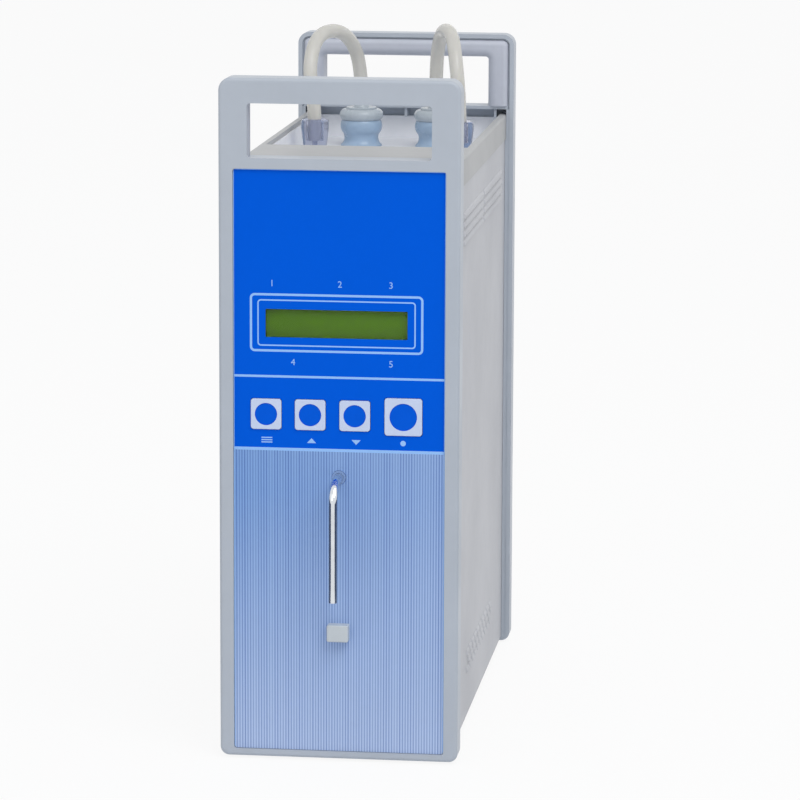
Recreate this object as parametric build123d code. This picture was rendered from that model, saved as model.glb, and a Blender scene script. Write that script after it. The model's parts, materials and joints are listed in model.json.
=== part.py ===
from build123d import *
import os
from math import pi, radians, tan

# A narrow bench-top milk analyzer: a painted housing held between two tall end frames whose
# tops are carrying handles, with two short hose loops in a tray on top.
# All sizes are in millimetres. X runs across, Y from the front to the back, Z up from the bench.
# The pieces are placed with Y = 0 in the middle of the housing, and are moved at the end so that
# the origin is on the bench, in the middle of everything from the sample pipe to the back.

# Whole instrument
width = 105.0
height = 300.0
depth = 250.0
frame_lift = 1.0          # the feet hold the end frames this far off the bench
seam = 0.2                # open joint between housing pieces that meet edge to edge
slip = 0.1                # clearance around a piece that fits inside another
running = 0.05            # radial clearance of a shaft in its hole, or a hose on its barb

# End frames
frame_depth = 12.0
frame_face = 1.6
frame_lip = 2.0
frame_top_radius = 5.5
frame_bottom_radius = 4.0
frame_edge_radius = 1.5
aperture_half = width / 2 - 6.2
aperture_bottom = 4.3
aperture_top = height - 39.1
rear_aperture_top = height - 44.0
aperture_radius = 1.2
window_half = width / 2 - 12.5
window_bottom = height - 34.5
window_top = height - 10.9
window_radius = 1.5
sill_thickness = 1.6
rib_thickness = 1.2
rib_setback = width / 2 - 9.0
liner_groove = 0.8
groove_depth = 1.2
side_groove_depth = 0.3    # the groove is shallower beside the housing
liner_proud = 1.5
liner_outer_round = 2.5
liner_grip_round = 4.0

# Housing
panel_out = width / 2 - 4.1   # outer face of a side panel from the middle
panel_thickness = 1.5
panel_bottom = 3.2
skirt_out = width / 2 - 3.6
skirt_wall = 2.0
skirt_bottom = height - 50.6
cover_top = height - 38.6
cover_edge_round = 1.2
plateau_back = depth / 2 - 159.0    # where the closed front part of the top cover ends
rim_width = 3.2
tray_floor_top = height - 51.6
tray_floor = 2.0
tray_wall = 1.6
tray_radius = 2.5
flange_height = 10.0
foot_radius = 6.0
foot_across = width / 2 - 16.5
foot_along = depth / 2 - 25.0
louver_height = 1.5
louver_pitch = 4.0
louver_top = height - 64.5
louver_rows = 4
louver_middle = 9.5
louver_length = 79.0
louver_bridge = 7.0
low_slot_length = 7.0
low_slot_height = 1.6
low_slot_pitch = 11.0
low_slot_count = 10
low_slot_rows = 3
low_slot_top = 33.0
low_slot_middle = 5.0

# Front panel
plate_thickness = 2.0
film_thickness = 0.5
film_gap = 0.15
lcd_middle = -1.2
lcd_height = height - 106.1
lcd_view_width = 62.0
lcd_view_height = 12.4
lcd_opening_margin = 1.8
lcd_window_thickness = 1.0
lcd_glass_thickness = 2.0
lcd_board_width = 80.0
lcd_board_height = 36.0
board_thickness = 1.6
pillar_inset = 2.8        # from a front board's edges to the middle of a pillar
key_names = ("mode", "up", "down", "ok")
key_places = (-31.9, -12.6, 6.9, 28.1)
key_sizes = (13.4, 13.4, 13.4, 16.4)
key_row = height - 146.0
key_radius = 1.3
key_proud = 0.7
key_travel = 0.6
key_gap = 0.2
key_flange = 1.2
key_flange_thickness = 0.8
key_dish_depth = 0.25
key_dish_share = 0.73     # round finger dish, as a share of the key's side
switch_side = 6.2
switch_height = 3.4
switch_stem_radius = 1.7
keypad_board_width = width - 13.4
keypad_board_height = 24.0

# Sample pipe and cup peg
pipe_height = height - 173.3
pipe_radius = 2.0
pipe_bore = 1.5
pipe_reach = 17.5         # front face to the pipe's centre line
pipe_tip = height - 224.8
pipe_bend = 10.0
pipe_inner_end = 21.0     # how far the pipe runs in behind the front face
gland_radius = 3.0
gland_flange_radius = 7.0
gland_flange = 2.0
gland_length = 12.0
clip_radius = 4.0
clip_thickness = 0.8
peg_width = 9.5
peg_height = 7.5
peg_middle = height - 241.9
peg_reach = 5.0
peg_stem_radius = 2.0
peg_nut_side = 7.0
nut_thickness = 3.0

# Hose tray fittings
socket_across = width / 2 - 18.4
socket_along = depth / 2 - 84.0
socket_foot_radius = 5.0
socket_radius = 6.5
socket_shoulder = 13.0    # from the tray's floor up to the socket's full width
socket_height = 17.0
socket_depth = 10.0       # how far a hose stands down in its socket
stem_radius = 4.0
port_stem_radius = 5.0
stem_length = 6.5
port_across = width / 2 - 34.6
port_along = depth / 2 - 40.0
port_flange_radius = 9.8
port_waist_radius = 8.2
port_turn_radius = 8.6    # where the waist's curve meets the bowl's
port_bowl_radius = 9.95
port_mouth_radius = 9.2
port_height = 12.4
port_cap_foot_radius = 9.0
port_cap_radius = 10.4
port_cap_crown_radius = 7.3
port_cap_thickness = 6.2
port_barb_length = 10.4   # from the cap's top up to the barb's end
barb_foot_height = 3.0
barb_radius = 2.2
barb_bore = 1.2
hose_radius = 3.25
hose_bore = 2.25
hose_seat_gap = 0.3       # a hose stops this far above the foot of its barb
inner_barb_length = 8.0
inner_hose_radius = 3.0
inlet_hose_radius = 3.3
inner_barb_radius = 2.0
pump_barb_radius = 1.5
pump_barb_bore = 1.0

# Chassis, boards and supply
chassis_left = 22.5 - width / 2
chassis_thickness = 1.5
chassis_front = 25.0 - depth / 2
chassis_top = height - 95.0
chassis_brace_bottom = height - 155.0
chassis_foot = 13.0
standoff_length = 5.0
standoff_radius = 2.5
screw_radius = 1.5
screw_head_radius = 2.7
screw_head_height = 1.8
main_board_front = 37.0 - depth / 2
main_board_back = 62.0
main_board_bottom = 62.0
main_board_top = height - 104.0
# Parts of the main board: place of the low corner as shares of the board, then along, up and out
chip_blocks = ((0.32, 0.433, 26, 14, 3), (0.573, 0.433, 20, 10, 3), (0.333, 0.224, 20, 10, 3),
               (0.76, 0.657, 20, 14, 5), (0.12, 0.791, 20, 10, 7), (0.72, 0.119, 24, 8, 7))
can_places = ((0.56, 0.164), (0.64, 0.164), (0.813, 0.313), (0.813, 0.403))
can_radius = 4.0
can_height = 8.5
transformer_middle = (8.0, 30.0)
transformer_radius = width / 2 - 20.5
transformer_hole = 9.0
transformer_height = 32.0
transformer_round = 5.0
bolt_radius = 2.5
bolt_flange_radius = 15.0
bolt_flange_thickness = 1.5

# Measuring cell
cell_half = 16.0
cell_front = 39.0 - depth / 2
cell_bottom = pipe_height - 9.0
cell_top = pipe_height + 47.0
cell_bore = 6.0
cell_outlet_drop = 8.0
transducer_radius = 11.0
transducer_height = 9.0
heater_bottom = pipe_height + 12.0
heater_height = 20.0
heater_thickness = 1.4

# Peristaltic pump
pump_along = 38.0
pump_height = height - 150.0
motor_radius = 14.0
motor_left = chassis_left + 3.0
motor_length = 31.0
bracket_thickness = 1.5
pump_side = 44.0
pump_thickness = 16.0
pump_floor = 2.0
pump_cover_thickness = 2.0
track_radius = 17.0
pump_tube_radius = 2.5
pump_tube_bore = 1.55
roller_radius = 3.2
roller_circle = 8.4
roller_gap = 0.3
roller_count = 2
rotor_disc_radius = 10.8
rotor_disc_thickness = 1.5
rotor_hub_radius = 4.4
shaft_radius = 1.5
roller_pin_radius = 1.0

# Rear panel
rear_recess = 5.0         # rear panel behind the inner side of the rear frame's face
rear_thickness = 1.5
rear_flange_height = 16.0
inlet_place = (20.0, 36.0)
inlet_width = 27.0
inlet_height = 19.6
inlet_depth = 20.0
inlet_wall = 1.4
inlet_flange = 1.8
inlet_margin = 2.2
rocker_place = (chassis_left + 10.0, 36.0)
rocker_width = 10.0
rocker_radius = 8.0
rocker_gap = 0.2
rocker_wall = 1.3
rocker_margin = 1.2
rocker_flange = 1.5
rocker_depth = 13.0
rocker_pivot_depth = 1.4
rocker_valley = 3.4
rocker_swing = 20.0
serial_place = (0.0, 84.0)
serial_width = 31.0
serial_height = 12.6
serial_shell_width = 17.0
serial_shell_height = 8.4
serial_shell_reach = 5.4
jack_spacing = 25.0
rear_slot_rows = 8
rear_slot_pitch = 6.0
rear_slot_top = height - 104.0
rear_slot_length = 52.0
rear_slot_middle = 8.0
rear_slot_height = 2.4

# Planes that several pieces share
front = -depth / 2
back = depth / 2
face_inside = front + frame_face              # inner side of the front frame's face
back_inside = back - frame_face
plate_back = face_inside + plate_thickness
film_front = face_inside - film_thickness
housing_front = plate_back + seam
housing_back = back_inside - seam
panel_in = panel_out - panel_thickness
floor_top = panel_bottom + panel_thickness
lip_half = width / 2 - frame_lip
wall_half = lip_half - liner_groove            # the frame's inner wall, below the groove
liner_half = wall_half - slip
tray_half = skirt_out - skirt_wall - seam
tray_bottom = tray_floor_top - tray_floor
rear_face = back_inside - rear_recess         # outer side of the rear panel
rear_inside = rear_face - rear_thickness
chassis_right = chassis_left + chassis_thickness
cell_back = cell_front + 2 * cell_half
seat_low = cell_bottom + 2                    # the ledge of the chassis that the cell stands beside
motor_right = motor_left + motor_length
head_left = motor_right + bracket_thickness
head_right = head_left + pump_thickness
cavity_left = head_left + pump_floor
tube_across = (cavity_left + head_right) / 2  # the plane that the pump tube is bent in
tube_circle = track_radius - pump_tube_radius - slip
barb_end = tray_floor_top - stem_length       # where the inner barbs of the fittings begin
socket_seat = tray_floor_top + socket_height - socket_depth
port_top = tray_floor_top + port_height
cap_top = port_top + port_cap_thickness
strip_half = skirt_out + slip                 # inner side of a frame's upright strip beside the housing
lcd_opening = (lcd_view_width + 2 * lcd_opening_margin, lcd_view_height + 2 * lcd_opening_margin)


def box_between(x0, x1, y0, y1, z0, z1):
    """A box given by its low and high sides."""
    return Pos((x0 + x1) / 2, (y0 + y1) / 2, (z0 + z1) / 2) * Box(x1 - x0, y1 - y0, z1 - z0)


def rod(radius, start, end):
    """A round bar from one point to another."""
    way = Vector(*end) - Vector(*start)
    return extrude(Plane(origin=start, z_dir=way) * Circle(radius), way.length)


def sleeve(radius, bore, start, end):
    """A round bar with a hole along it."""
    return rod(radius, start, end) - rod(bore, start, end)


def outline(x0, x1, z0, z1, top=0.0, bottom=0.0):
    """A rectangle seen from the front, with its own radius for the top and the bottom corners."""
    shape = Pos((x0 + x1) / 2, (z0 + z1) / 2) * Rectangle(x1 - x0, z1 - z0)
    if top:
        shape = fillet(shape.vertices().sort_by(Axis.Y)[-2:], top)
    if bottom:
        shape = fillet(shape.vertices().sort_by(Axis.Y)[:2], bottom)
    return shape


def slab(sketch, y0, y1):
    """A shape drawn as seen from the front, from y0 back to y1."""
    return extrude(Plane.XZ.offset(-y1) * sketch, y1 - y0)


def front_slab(middle, height_middle, wide, high, radius, y0, y1):
    """A rounded rectangle on or in the front panel."""
    return slab(Pos(middle, height_middle) * RectangleRounded(wide, high, radius), y0, y1)


def hex_nut(side, thickness, hole, centre, way):
    """A hexagonal nut; side is the size across its flats."""
    plane = Plane(origin=centre, z_dir=way)
    shape = RegularPolygon(side / 2, 6, major_radius=False) - Circle(hole)
    return extrude(plane * shape, thickness)


def screw(head_seat, way, length):
    """A pan-head screw: the head stands on head_seat, and the shank runs along way."""
    seat = Vector(*head_seat)
    along = Vector(*way)
    head = rod(screw_head_radius, seat - along * screw_head_height, seat)
    return head + rod(screw_radius, seat, seat + along * length)


def bend_radii(points):
    """The radius of each bend of a route: as large as its two runs allow."""
    radii = []
    for before, corner, after in zip(points, points[1:], points[2:]):
        run_in = Vector(*corner) - Vector(*before)
        run_out = Vector(*after) - Vector(*corner)
        turn = run_in.get_angle(run_out)
        radii.append(0.45 * min(run_in.length, run_out.length) / tan(radians(turn / 2)))
    return radii


def tube_along(points, radii, outer, bore):
    """A tube along a route of straight runs joined by arcs, open at both ends."""
    path = FilletPolyline(*points, radius=radii)
    start = Plane(origin=path @ 0, z_dir=path % 0)
    tube = sweep(start * Circle(outer), path=path) - sweep(start * Circle(bore), path=path)
    share = tube.volume / (pi * (outer ** 2 - bore ** 2) * path.length)
    print("tube", round(path.length, 1), "long, bends", [round(radius, 1) for radius in radii],
          "volume over section times length", round(share, 3))
    return tube


def hose(points, outer, bore):
    """A hose whose bends are as wide as its route allows."""
    return tube_along(points, bend_radii(points), outer, bore)


def end_frame(opening_top, rib_foot):
    """The front end frame: a face with a handle window and a panel opening, inside a lip."""
    frame_back = front + frame_depth
    shape = outline(-width / 2, width / 2, frame_lift, height, frame_top_radius, frame_bottom_radius)
    frame = slab(shape, front, frame_back)
    frame = fillet(frame.faces().sort_by(Axis.Y)[0].edges(), frame_edge_radius)
    low, high = frame_lift + frame_lip, height - frame_lip
    top_round, bottom_round = frame_top_radius - frame_lip, frame_bottom_radius - frame_lip
    pocket = outline(-wall_half, wall_half, low, high - liner_groove, top_round - liner_groove, bottom_round)
    groove = outline(-lip_half, lip_half, low, high, top_round, bottom_round)
    frame -= slab(pocket, face_inside, frame_back)
    frame -= slab(groove, frame_back - groove_depth, frame_back)
    window = outline(-window_half, window_half, window_bottom, window_top, window_radius, window_radius)
    aperture = outline(-aperture_half, aperture_half, aperture_bottom, opening_top,
                       aperture_radius, aperture_radius)
    frame -= slab(window + aperture, front - 1, face_inside + 1)
    sill_bottom = window_bottom - sill_thickness
    frame += box_between(-wall_half, wall_half, face_inside, frame_back, sill_bottom, window_bottom)
    for middle in (-rib_setback, 0, rib_setback):
        frame += box_between(middle - rib_thickness / 2, middle + rib_thickness / 2,
                             face_inside, frame_back - 1, rib_foot, sill_bottom)
    for near, far, rear, top in (
        (strip_half, wall_half, frame_back, sill_bottom),
        (panel_out + slip, wall_half, frame_back, skirt_bottom - seam),
        (wall_half, lip_half, frame_back - side_groove_depth, sill_bottom),
    ):
        strip = box_between(near, far, face_inside, rear, low, top)
        frame += strip + mirror(strip, Plane.YZ)
    return frame


def handle_liner():
    """The rounded grip behind the face of the front handle, an upside-down U on the sill."""
    liner_top = height - frame_lip - liner_groove - slip
    outer = outline(-liner_half, liner_half, window_bottom, liner_top,
                    frame_top_radius - frame_lip - liner_groove - slip)
    inner = outline(-window_half, window_half, window_bottom - 5, window_top, window_radius)
    liner = slab(outer - inner, face_inside, front + frame_depth + liner_proud)
    foot = window_bottom + 0.1
    edges = liner.faces().sort_by(Axis.Y)[-1].edges().filter_by(lambda e: e.center().Z > foot)
    wide, high = window_half + 0.1, window_top + 0.1
    grip = edges.filter_by(lambda e: abs(e.center().X) < wide and e.center().Z < high)
    liner = fillet(grip, liner_grip_round)
    edges = liner.faces().sort_by(Axis.Y)[-1].edges().filter_by(lambda e: e.center().Z > foot)
    rim = edges.filter_by(lambda e: abs(e.center().X) > liner_half - 2 or e.center().Z > liner_top - 2)
    return fillet(rim, liner_outer_round)


def side_slots():
    """The cooling slots of a side panel, drawn as seen from the side."""
    slots = Sketch()
    for row in range(louver_rows):
        for away in (-1, 1):
            middle = louver_middle + away * (louver_bridge + louver_length) / 2
            slots += Pos(middle, louver_top - row * louver_pitch) * SlotOverall(louver_length, louver_height)
    for row in range(low_slot_rows):
        for place in range(low_slot_count):
            stagger = (row % 2 - 0.5) / 2
            middle = low_slot_middle + (place - (low_slot_count - 1) / 2 + stagger) * low_slot_pitch
            low = low_slot_top - row * louver_pitch
            slots += Pos(middle, low) * SlotOverall(low_slot_length, low_slot_height)
    return slots


def side_panel():
    """The right side of the housing, with its cooling slots."""
    panel = box_between(panel_in, panel_out, housing_front, housing_back, panel_bottom, skirt_bottom - seam)
    return panel - extrude(Plane.YZ.offset(panel_in - 1) * side_slots(), panel_thickness + 2)


def base_plate():
    """The floor of the housing: a sheet with its long edges and its back edge turned up."""
    wall = panel_thickness
    top = floor_top + flange_height
    plate = box_between(-tray_half, tray_half, housing_front, housing_back, panel_bottom, floor_top)
    plate += box_between(tray_half - wall, tray_half, housing_front, rear_inside - 3, floor_top, top)
    plate += box_between(-tray_half, wall - tray_half, housing_front, rear_inside - 3, floor_top, top)
    plate += box_between(-tray_half + 5, tray_half - 5, rear_inside - slip - wall, rear_inside - slip,
                         floor_top, floor_top + rear_flange_height)
    for x, y in chassis_screw_places():
        plate -= rod(screw_radius + running, (x, y, panel_bottom - 1), (x, y, floor_top + 1))
    bolt = transformer_middle
    plate -= rod(bolt_radius + running, (*bolt, panel_bottom - 1), (*bolt, floor_top + 1))
    for x, z in rear_low_screws():
        plate -= rod(screw_radius + running, (x, rear_inside - 5, z), (x, rear_inside + 1, z))
    return plate


def top_cover():
    """The top of the housing: side skirts, a closed front part and a rim round the hose tray."""
    cover = box_between(-skirt_out, skirt_out, housing_front, housing_back, skirt_bottom, cover_top)
    cover = fillet(cover.edges().filter_by(Axis.Y).group_by(Axis.Z)[-1], cover_edge_round)
    inside = skirt_out - skirt_wall
    cover -= box_between(-inside, inside, housing_front - 1, housing_back + 1,
                         skirt_bottom - 1, cover_top - skirt_wall)
    rim = skirt_out - rim_width
    return cover - box_between(-rim, rim, plateau_back, housing_back + 1, skirt_bottom - 1, cover_top + 1)


def hose_tray():
    """The sunk tray that carries the hose fittings."""
    tray_start = plateau_back - tray_wall - 2 * seam
    top = cover_top - skirt_wall - seam
    tray = box_between(-tray_half, tray_half, tray_start, housing_back, tray_bottom, top)
    tray = fillet(tray.edges().filter_by(Axis.Z), tray_radius)
    well = box_between(tray_wall - tray_half, tray_half - tray_wall, tray_start + tray_wall,
                       housing_back - tray_wall, tray_floor_top, top + 1)
    tray -= fillet(well.edges().filter_by(Axis.Z), tray_radius - tray_wall / 2)
    for x, y, stem in fitting_places():
        tray -= rod(stem + slip, (x, y, tray_bottom - 1), (x, y, tray_floor_top + 1))
    return tray


def feet():
    """Four thin rubber feet under the base plate."""
    return [rod(foot_radius, (x, y, 0), (x, y, panel_bottom))
            for x in (-foot_across, foot_across) for y in (-foot_along, foot_along)]


def key_openings(clearance, y0, y1):
    """The holes that the keys come through."""
    return [front_slab(x, key_row, side + 2 * clearance, side + 2 * clearance, key_radius, y0, y1)
            for x, side in zip(key_places, key_sizes)]


def front_plate():
    """The stiff plate behind the printed film."""
    half = aperture_half + 1.5
    plate = box_between(-half, half, face_inside, plate_back, frame_lift + frame_lip + seam, cover_top)
    plate -= front_slab(lcd_middle, lcd_height, *lcd_opening, 0.5, face_inside - 1, plate_back + 1)
    for opening in key_openings(key_gap, face_inside - 1, plate_back + 1):
        plate -= opening
    y0, y1 = face_inside - 1, plate_back + 1
    plate -= rod(gland_radius + slip, (0, y0, pipe_height), (0, y1, pipe_height))
    return plate - rod(peg_stem_radius + slip, (0, y0, peg_middle), (0, y1, peg_middle))


def front_overlay():
    """The printed film on the front plate, inside the frame's aperture."""
    half = aperture_half - film_gap
    film = slab(outline(-half, half, aperture_bottom + film_gap, aperture_top - film_gap,
                        aperture_radius, aperture_radius), film_front, face_inside)
    y0, y1 = film_front - 1, face_inside + 1
    film -= front_slab(lcd_middle, lcd_height, lcd_view_width, lcd_view_height, 0.5, y0, y1)
    for opening in key_openings(key_gap, y0, y1):
        film -= opening
    film -= rod(gland_radius + slip, (0, y0, pipe_height), (0, y1, pipe_height))
    return film - rod(peg_stem_radius + slip, (0, y0, peg_middle), (0, y1, peg_middle))


def key(x, side):
    """One key: a square cap with a round finger dish, held by a flange behind the plate."""
    cap_front = film_front - key_proud
    flange_front = plate_back + slip
    flange_back = flange_front + key_flange_thickness
    cap = front_slab(x, key_row, side, side, key_radius, cap_front, flange_back)
    cap = fillet(cap.faces().sort_by(Axis.Y)[0].edges(), 0.3)
    wide = side + 2 * key_flange
    cap += front_slab(x, key_row, wide, wide, key_radius, flange_front, flange_back)
    dish = side * key_dish_share / 2
    return cap - rod(dish, (x, cap_front - 1, key_row), (x, cap_front + key_dish_depth, key_row))


def keypad():
    """The keypad's circuit board with a push switch behind each key."""
    flange_back = plate_back + slip + key_flange_thickness
    stem_front = flange_back + key_travel + slip
    body_front = stem_front + 1.0
    board_front = body_front + switch_height
    across, up = keypad_board_width / 2, keypad_board_height / 2
    board = box_between(-across, across, board_front, board_front + board_thickness,
                        key_row - up, key_row + up)
    switches = []
    for x in key_places:
        half = switch_side / 2
        body = box_between(x - half, x + half, body_front, board_front, key_row - half, key_row + half)
        switches.append(body + rod(switch_stem_radius, (x, stem_front, key_row), (x, body_front, key_row)))
    side, rise = across - pillar_inset, up - pillar_inset
    pillars = [sleeve(standoff_radius, screw_radius, (x, plate_back, z), (x, board_front, z))
               for x in (-side, side) for z in (key_row - rise, key_row + rise)]
    return board, switches, pillars


def display():
    """The display: window, glass, circuit board and its pillars."""
    view_w, view_h = lcd_view_width, lcd_view_height
    open_w, open_h = lcd_opening
    pane = front_slab(lcd_middle, lcd_height, open_w - 2 * slip, open_h - 2 * slip, 0.5,
                      face_inside, face_inside + lcd_window_thickness)
    board_front = plate_back + lcd_glass_thickness
    glass = front_slab(lcd_middle, lcd_height, view_w + 6, view_h + 6, 0.5, plate_back, board_front)
    board = front_slab(lcd_middle, lcd_height, lcd_board_width, lcd_board_height, 1,
                       board_front, board_front + board_thickness)
    across, up = lcd_board_width / 2 - pillar_inset, lcd_board_height / 2 - pillar_inset
    pillars = [sleeve(standoff_radius, screw_radius, (x, plate_back, z), (x, board_front, z))
               for x in (lcd_middle - across, lcd_middle + across)
               for z in (lcd_height - up, lcd_height + up)]
    return pane, glass, board, pillars


def sample_pipe():
    """The bent steel pipe that draws the sample up from a cup."""
    inner_end = (0, front + pipe_inner_end, pipe_height)
    corner = (0, front - pipe_reach, pipe_height)
    tip = (0, front - pipe_reach, pipe_tip)
    return tube_along([inner_end, corner, tip], [pipe_bend], pipe_radius, pipe_bore)


def pipe_fittings():
    """The bush that the pipe turns in, and the clip that keeps the pipe from pulling out."""
    gland_back = plate_back + gland_length
    start = (0, film_front - 0.4, pipe_height)
    gland = rod(gland_radius, start, (0, gland_back, pipe_height))
    gland += rod(gland_flange_radius, (0, plate_back, pipe_height),
                 (0, plate_back + gland_flange, pipe_height))
    gland -= rod(pipe_radius + running, (0, front - 5, pipe_height), (0, gland_back + 1, pipe_height))
    clip_front = gland_back + slip
    clip = sleeve(clip_radius, pipe_radius + running / 2, (0, clip_front, pipe_height),
                  (0, clip_front + clip_thickness, pipe_height))
    return gland, clip


def cup_peg():
    """The square peg below the pipe, and the nut behind the plate."""
    peg = front_slab(0, peg_middle, peg_width, peg_height, 0.8, film_front - peg_reach, film_front)
    peg = fillet(peg.faces().sort_by(Axis.Y)[0].edges(), 0.6)
    peg += rod(peg_stem_radius, (0, film_front, peg_middle), (0, plate_back + nut_thickness + 1, peg_middle))
    nut_seat = (0, plate_back, peg_middle)
    nut = hex_nut(peg_nut_side, nut_thickness, peg_stem_radius + running, nut_seat, (0, 1, 0))
    return peg, nut


def fitting_places():
    """Where the hose fittings pass the tray's floor, and the radius of their stems."""
    sockets = [(side * socket_across, socket_along, stem_radius) for side in (-1, 1)]
    ports = [(side * port_across, port_along, port_stem_radius) for side in (-1, 1)]
    return sockets + ports


def inner_barb(x, y, stem, barb):
    """The threaded stem below the tray's floor and the barb on its end."""
    threaded = rod(stem, (x, y, barb_end), (x, y, tray_floor_top))
    return threaded + rod(barb, (x, y, barb_end - inner_barb_length), (x, y, barb_end))


def hose_socket(x):
    """The upright socket that one end of a hose loop stands in."""
    y = socket_along
    socket_top = tray_floor_top + socket_height
    body = rod(socket_radius, (x, y, tray_floor_top + socket_shoulder), (x, y, socket_top))
    body = fillet(body.edges().group_by(Axis.Z)[-1], 1.2)
    body += Pos(x, y, tray_floor_top + socket_shoulder / 2) * Cone(socket_foot_radius, socket_radius,
                                                                   socket_shoulder)
    body += inner_barb(x, y, stem_radius, pump_barb_radius)
    body -= rod(hose_radius + slip, (x, y, socket_seat), (x, y, socket_top + 1))
    return body - rod(pump_barb_bore, (x, y, tray_bottom - 20), (x, y, socket_top))


def port_body(x):
    """The waisted body of a hose port, on a flange on the tray's floor."""
    base = tray_floor_top
    flange = base + 0.6
    turn = base + 6.0
    side = [
        Line((0, base), (port_flange_radius, base)),
        Line((port_flange_radius, base), (port_flange_radius, flange)),
        ThreePointArc((port_flange_radius, flange), (port_waist_radius, base + 3.4),
                      (port_turn_radius, turn)),
        ThreePointArc((port_turn_radius, turn), (port_bowl_radius, base + 9.4),
                      (port_mouth_radius, port_top)),
        Line((port_mouth_radius, port_top), (0, port_top)),
        Line((0, port_top), (0, base)),
    ]
    body = revolve(Plane.XZ * make_face(side), Axis.Z)
    body = Pos(x, port_along, 0) * body
    body += inner_barb(x, port_along, port_stem_radius, inner_barb_radius)
    return body - rod(barb_bore, (x, port_along, tray_bottom - 20), (x, port_along, port_top + 1))


def port_cap(x):
    """The round cap of a hose port, with the barb that the hose is pushed over."""
    crown = cap_top - 0.9
    barb_top = cap_top + port_barb_length
    side = [
        Line((0, port_top), (port_cap_foot_radius, port_top)),
        ThreePointArc((port_cap_foot_radius, port_top), (port_cap_radius, port_top + 3), (8.2, crown)),
        Line((8.2, crown), (port_cap_crown_radius, crown)),
        Line((port_cap_crown_radius, crown), (port_cap_crown_radius, cap_top - 0.3)),
        Line((port_cap_crown_radius, cap_top - 0.3), (port_cap_crown_radius - 0.3, cap_top)),
        Line((port_cap_crown_radius - 0.3, cap_top), (0, cap_top)),
        Line((0, cap_top), (0, port_top)),
    ]
    cap = revolve(Plane.XZ * make_face(side), Axis.Z)
    foot = cap_top + barb_foot_height / 2
    cap += Pos(0, 0, foot) * Cone(barb_radius + 1.8, barb_radius, barb_foot_height)
    cap += rod(barb_radius, (0, 0, cap_top), (0, 0, barb_top))
    cap -= rod(barb_bore, (0, 0, port_top - 1), (0, 0, barb_top + 1))
    return Pos(x, port_along, 0) * cap


def fitting_nuts():
    """The nuts under the tray that hold the sockets and ports."""
    low = tray_bottom - nut_thickness
    return [hex_nut(2 * stem + 5, nut_thickness, stem + running, (x, y, low), (0, 0, 1))
            for x, y, stem in fitting_places()]


def loop_route(side):
    """The points that a hose loop goes round, from its socket to its port."""
    if side < 0:
        arch = [(-37.2, 41.0, 289.5), (-34.8, 53.9, 304.6), (-24.8, 72.1, 304.9)]
        last_turn = 289.9
    else:
        arch = [(32.5, 41.0, 291.0), (29.0, 53.9, 305.6), (22.0, 72.1, 305.8)]
        last_turn = 290.6
    return [
        (side * socket_across, socket_along, socket_seat),
        (side * socket_across, socket_along, 271.4),
        *arch,
        (side * port_across, port_along, last_turn),
        (side * port_across, port_along, cap_top + barb_foot_height + hose_seat_gap),
    ]


def chassis_screw_places():
    """Where the inner chassis is screwed to the base plate."""
    return [(chassis_left - 7, y) for y in (-85.0, 0.0, 85.0)]


def board_screw_places():
    """The corners where the main board is held."""
    inset = 5.0
    return [(y, z) for y in (main_board_front + inset, main_board_back - inset)
            for z in (main_board_bottom + inset, main_board_top - inset)]


def rear_low_screws():
    """Where the rear panel is screwed to the base plate, across and up."""
    return [(x, floor_top + rear_flange_height / 2) for x in (18.5 - width / 2, width / 2 - 18.5)]


def rear_high_screws():
    """Where the rear panel is screwed to the chassis, across and up."""
    return [(chassis_right + 7, z) for z in (chassis_brace_bottom + 13, chassis_top - 10)]


def inner_chassis():
    """The upright sheet that carries the main board, the pump and, on a bent ledge, the cell."""
    wall = chassis_thickness
    flange_back = rear_inside - slip
    sheet_back = flange_back - panel_thickness - slip
    sheet = box_between(chassis_left, chassis_right, chassis_front, sheet_back, floor_top, chassis_top)
    sheet += box_between(chassis_left, chassis_right, sheet_back, flange_back, chassis_brace_bottom,
                         chassis_top)
    sheet += box_between(chassis_left - chassis_foot, chassis_left, chassis_front, sheet_back,
                         floor_top, floor_top + wall)
    sheet += box_between(chassis_right, chassis_right + 14, flange_back - wall, flange_back,
                         chassis_brace_bottom, chassis_top)
    seat = -cell_half - wall
    sheet += box_between(chassis_right, seat, cell_front + 2, cell_back - 2, seat_low, seat_low + wall)
    sheet += box_between(seat, -cell_half, cell_front + 2, cell_back - 2, seat_low, heater_bottom - 2)
    for x, y in chassis_screw_places():
        sheet -= rod(screw_radius + running, (x, y, floor_top - 1), (x, y, floor_top + wall + 1))
    for y, z in board_screw_places() + pump_foot_screws():
        sheet -= rod(screw_radius + running, (chassis_left - 1, y, z), (chassis_right + 1, y, z))
    for y, z in cell_screw_places():
        sheet -= rod(screw_radius + running, (seat - 1, y, z), (1 - cell_half, y, z))
    for x, z in rear_high_screws():
        sheet -= rod(screw_radius + running, (x, rear_inside - 5, z), (x, rear_inside + 1, z))
    return sheet


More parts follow.
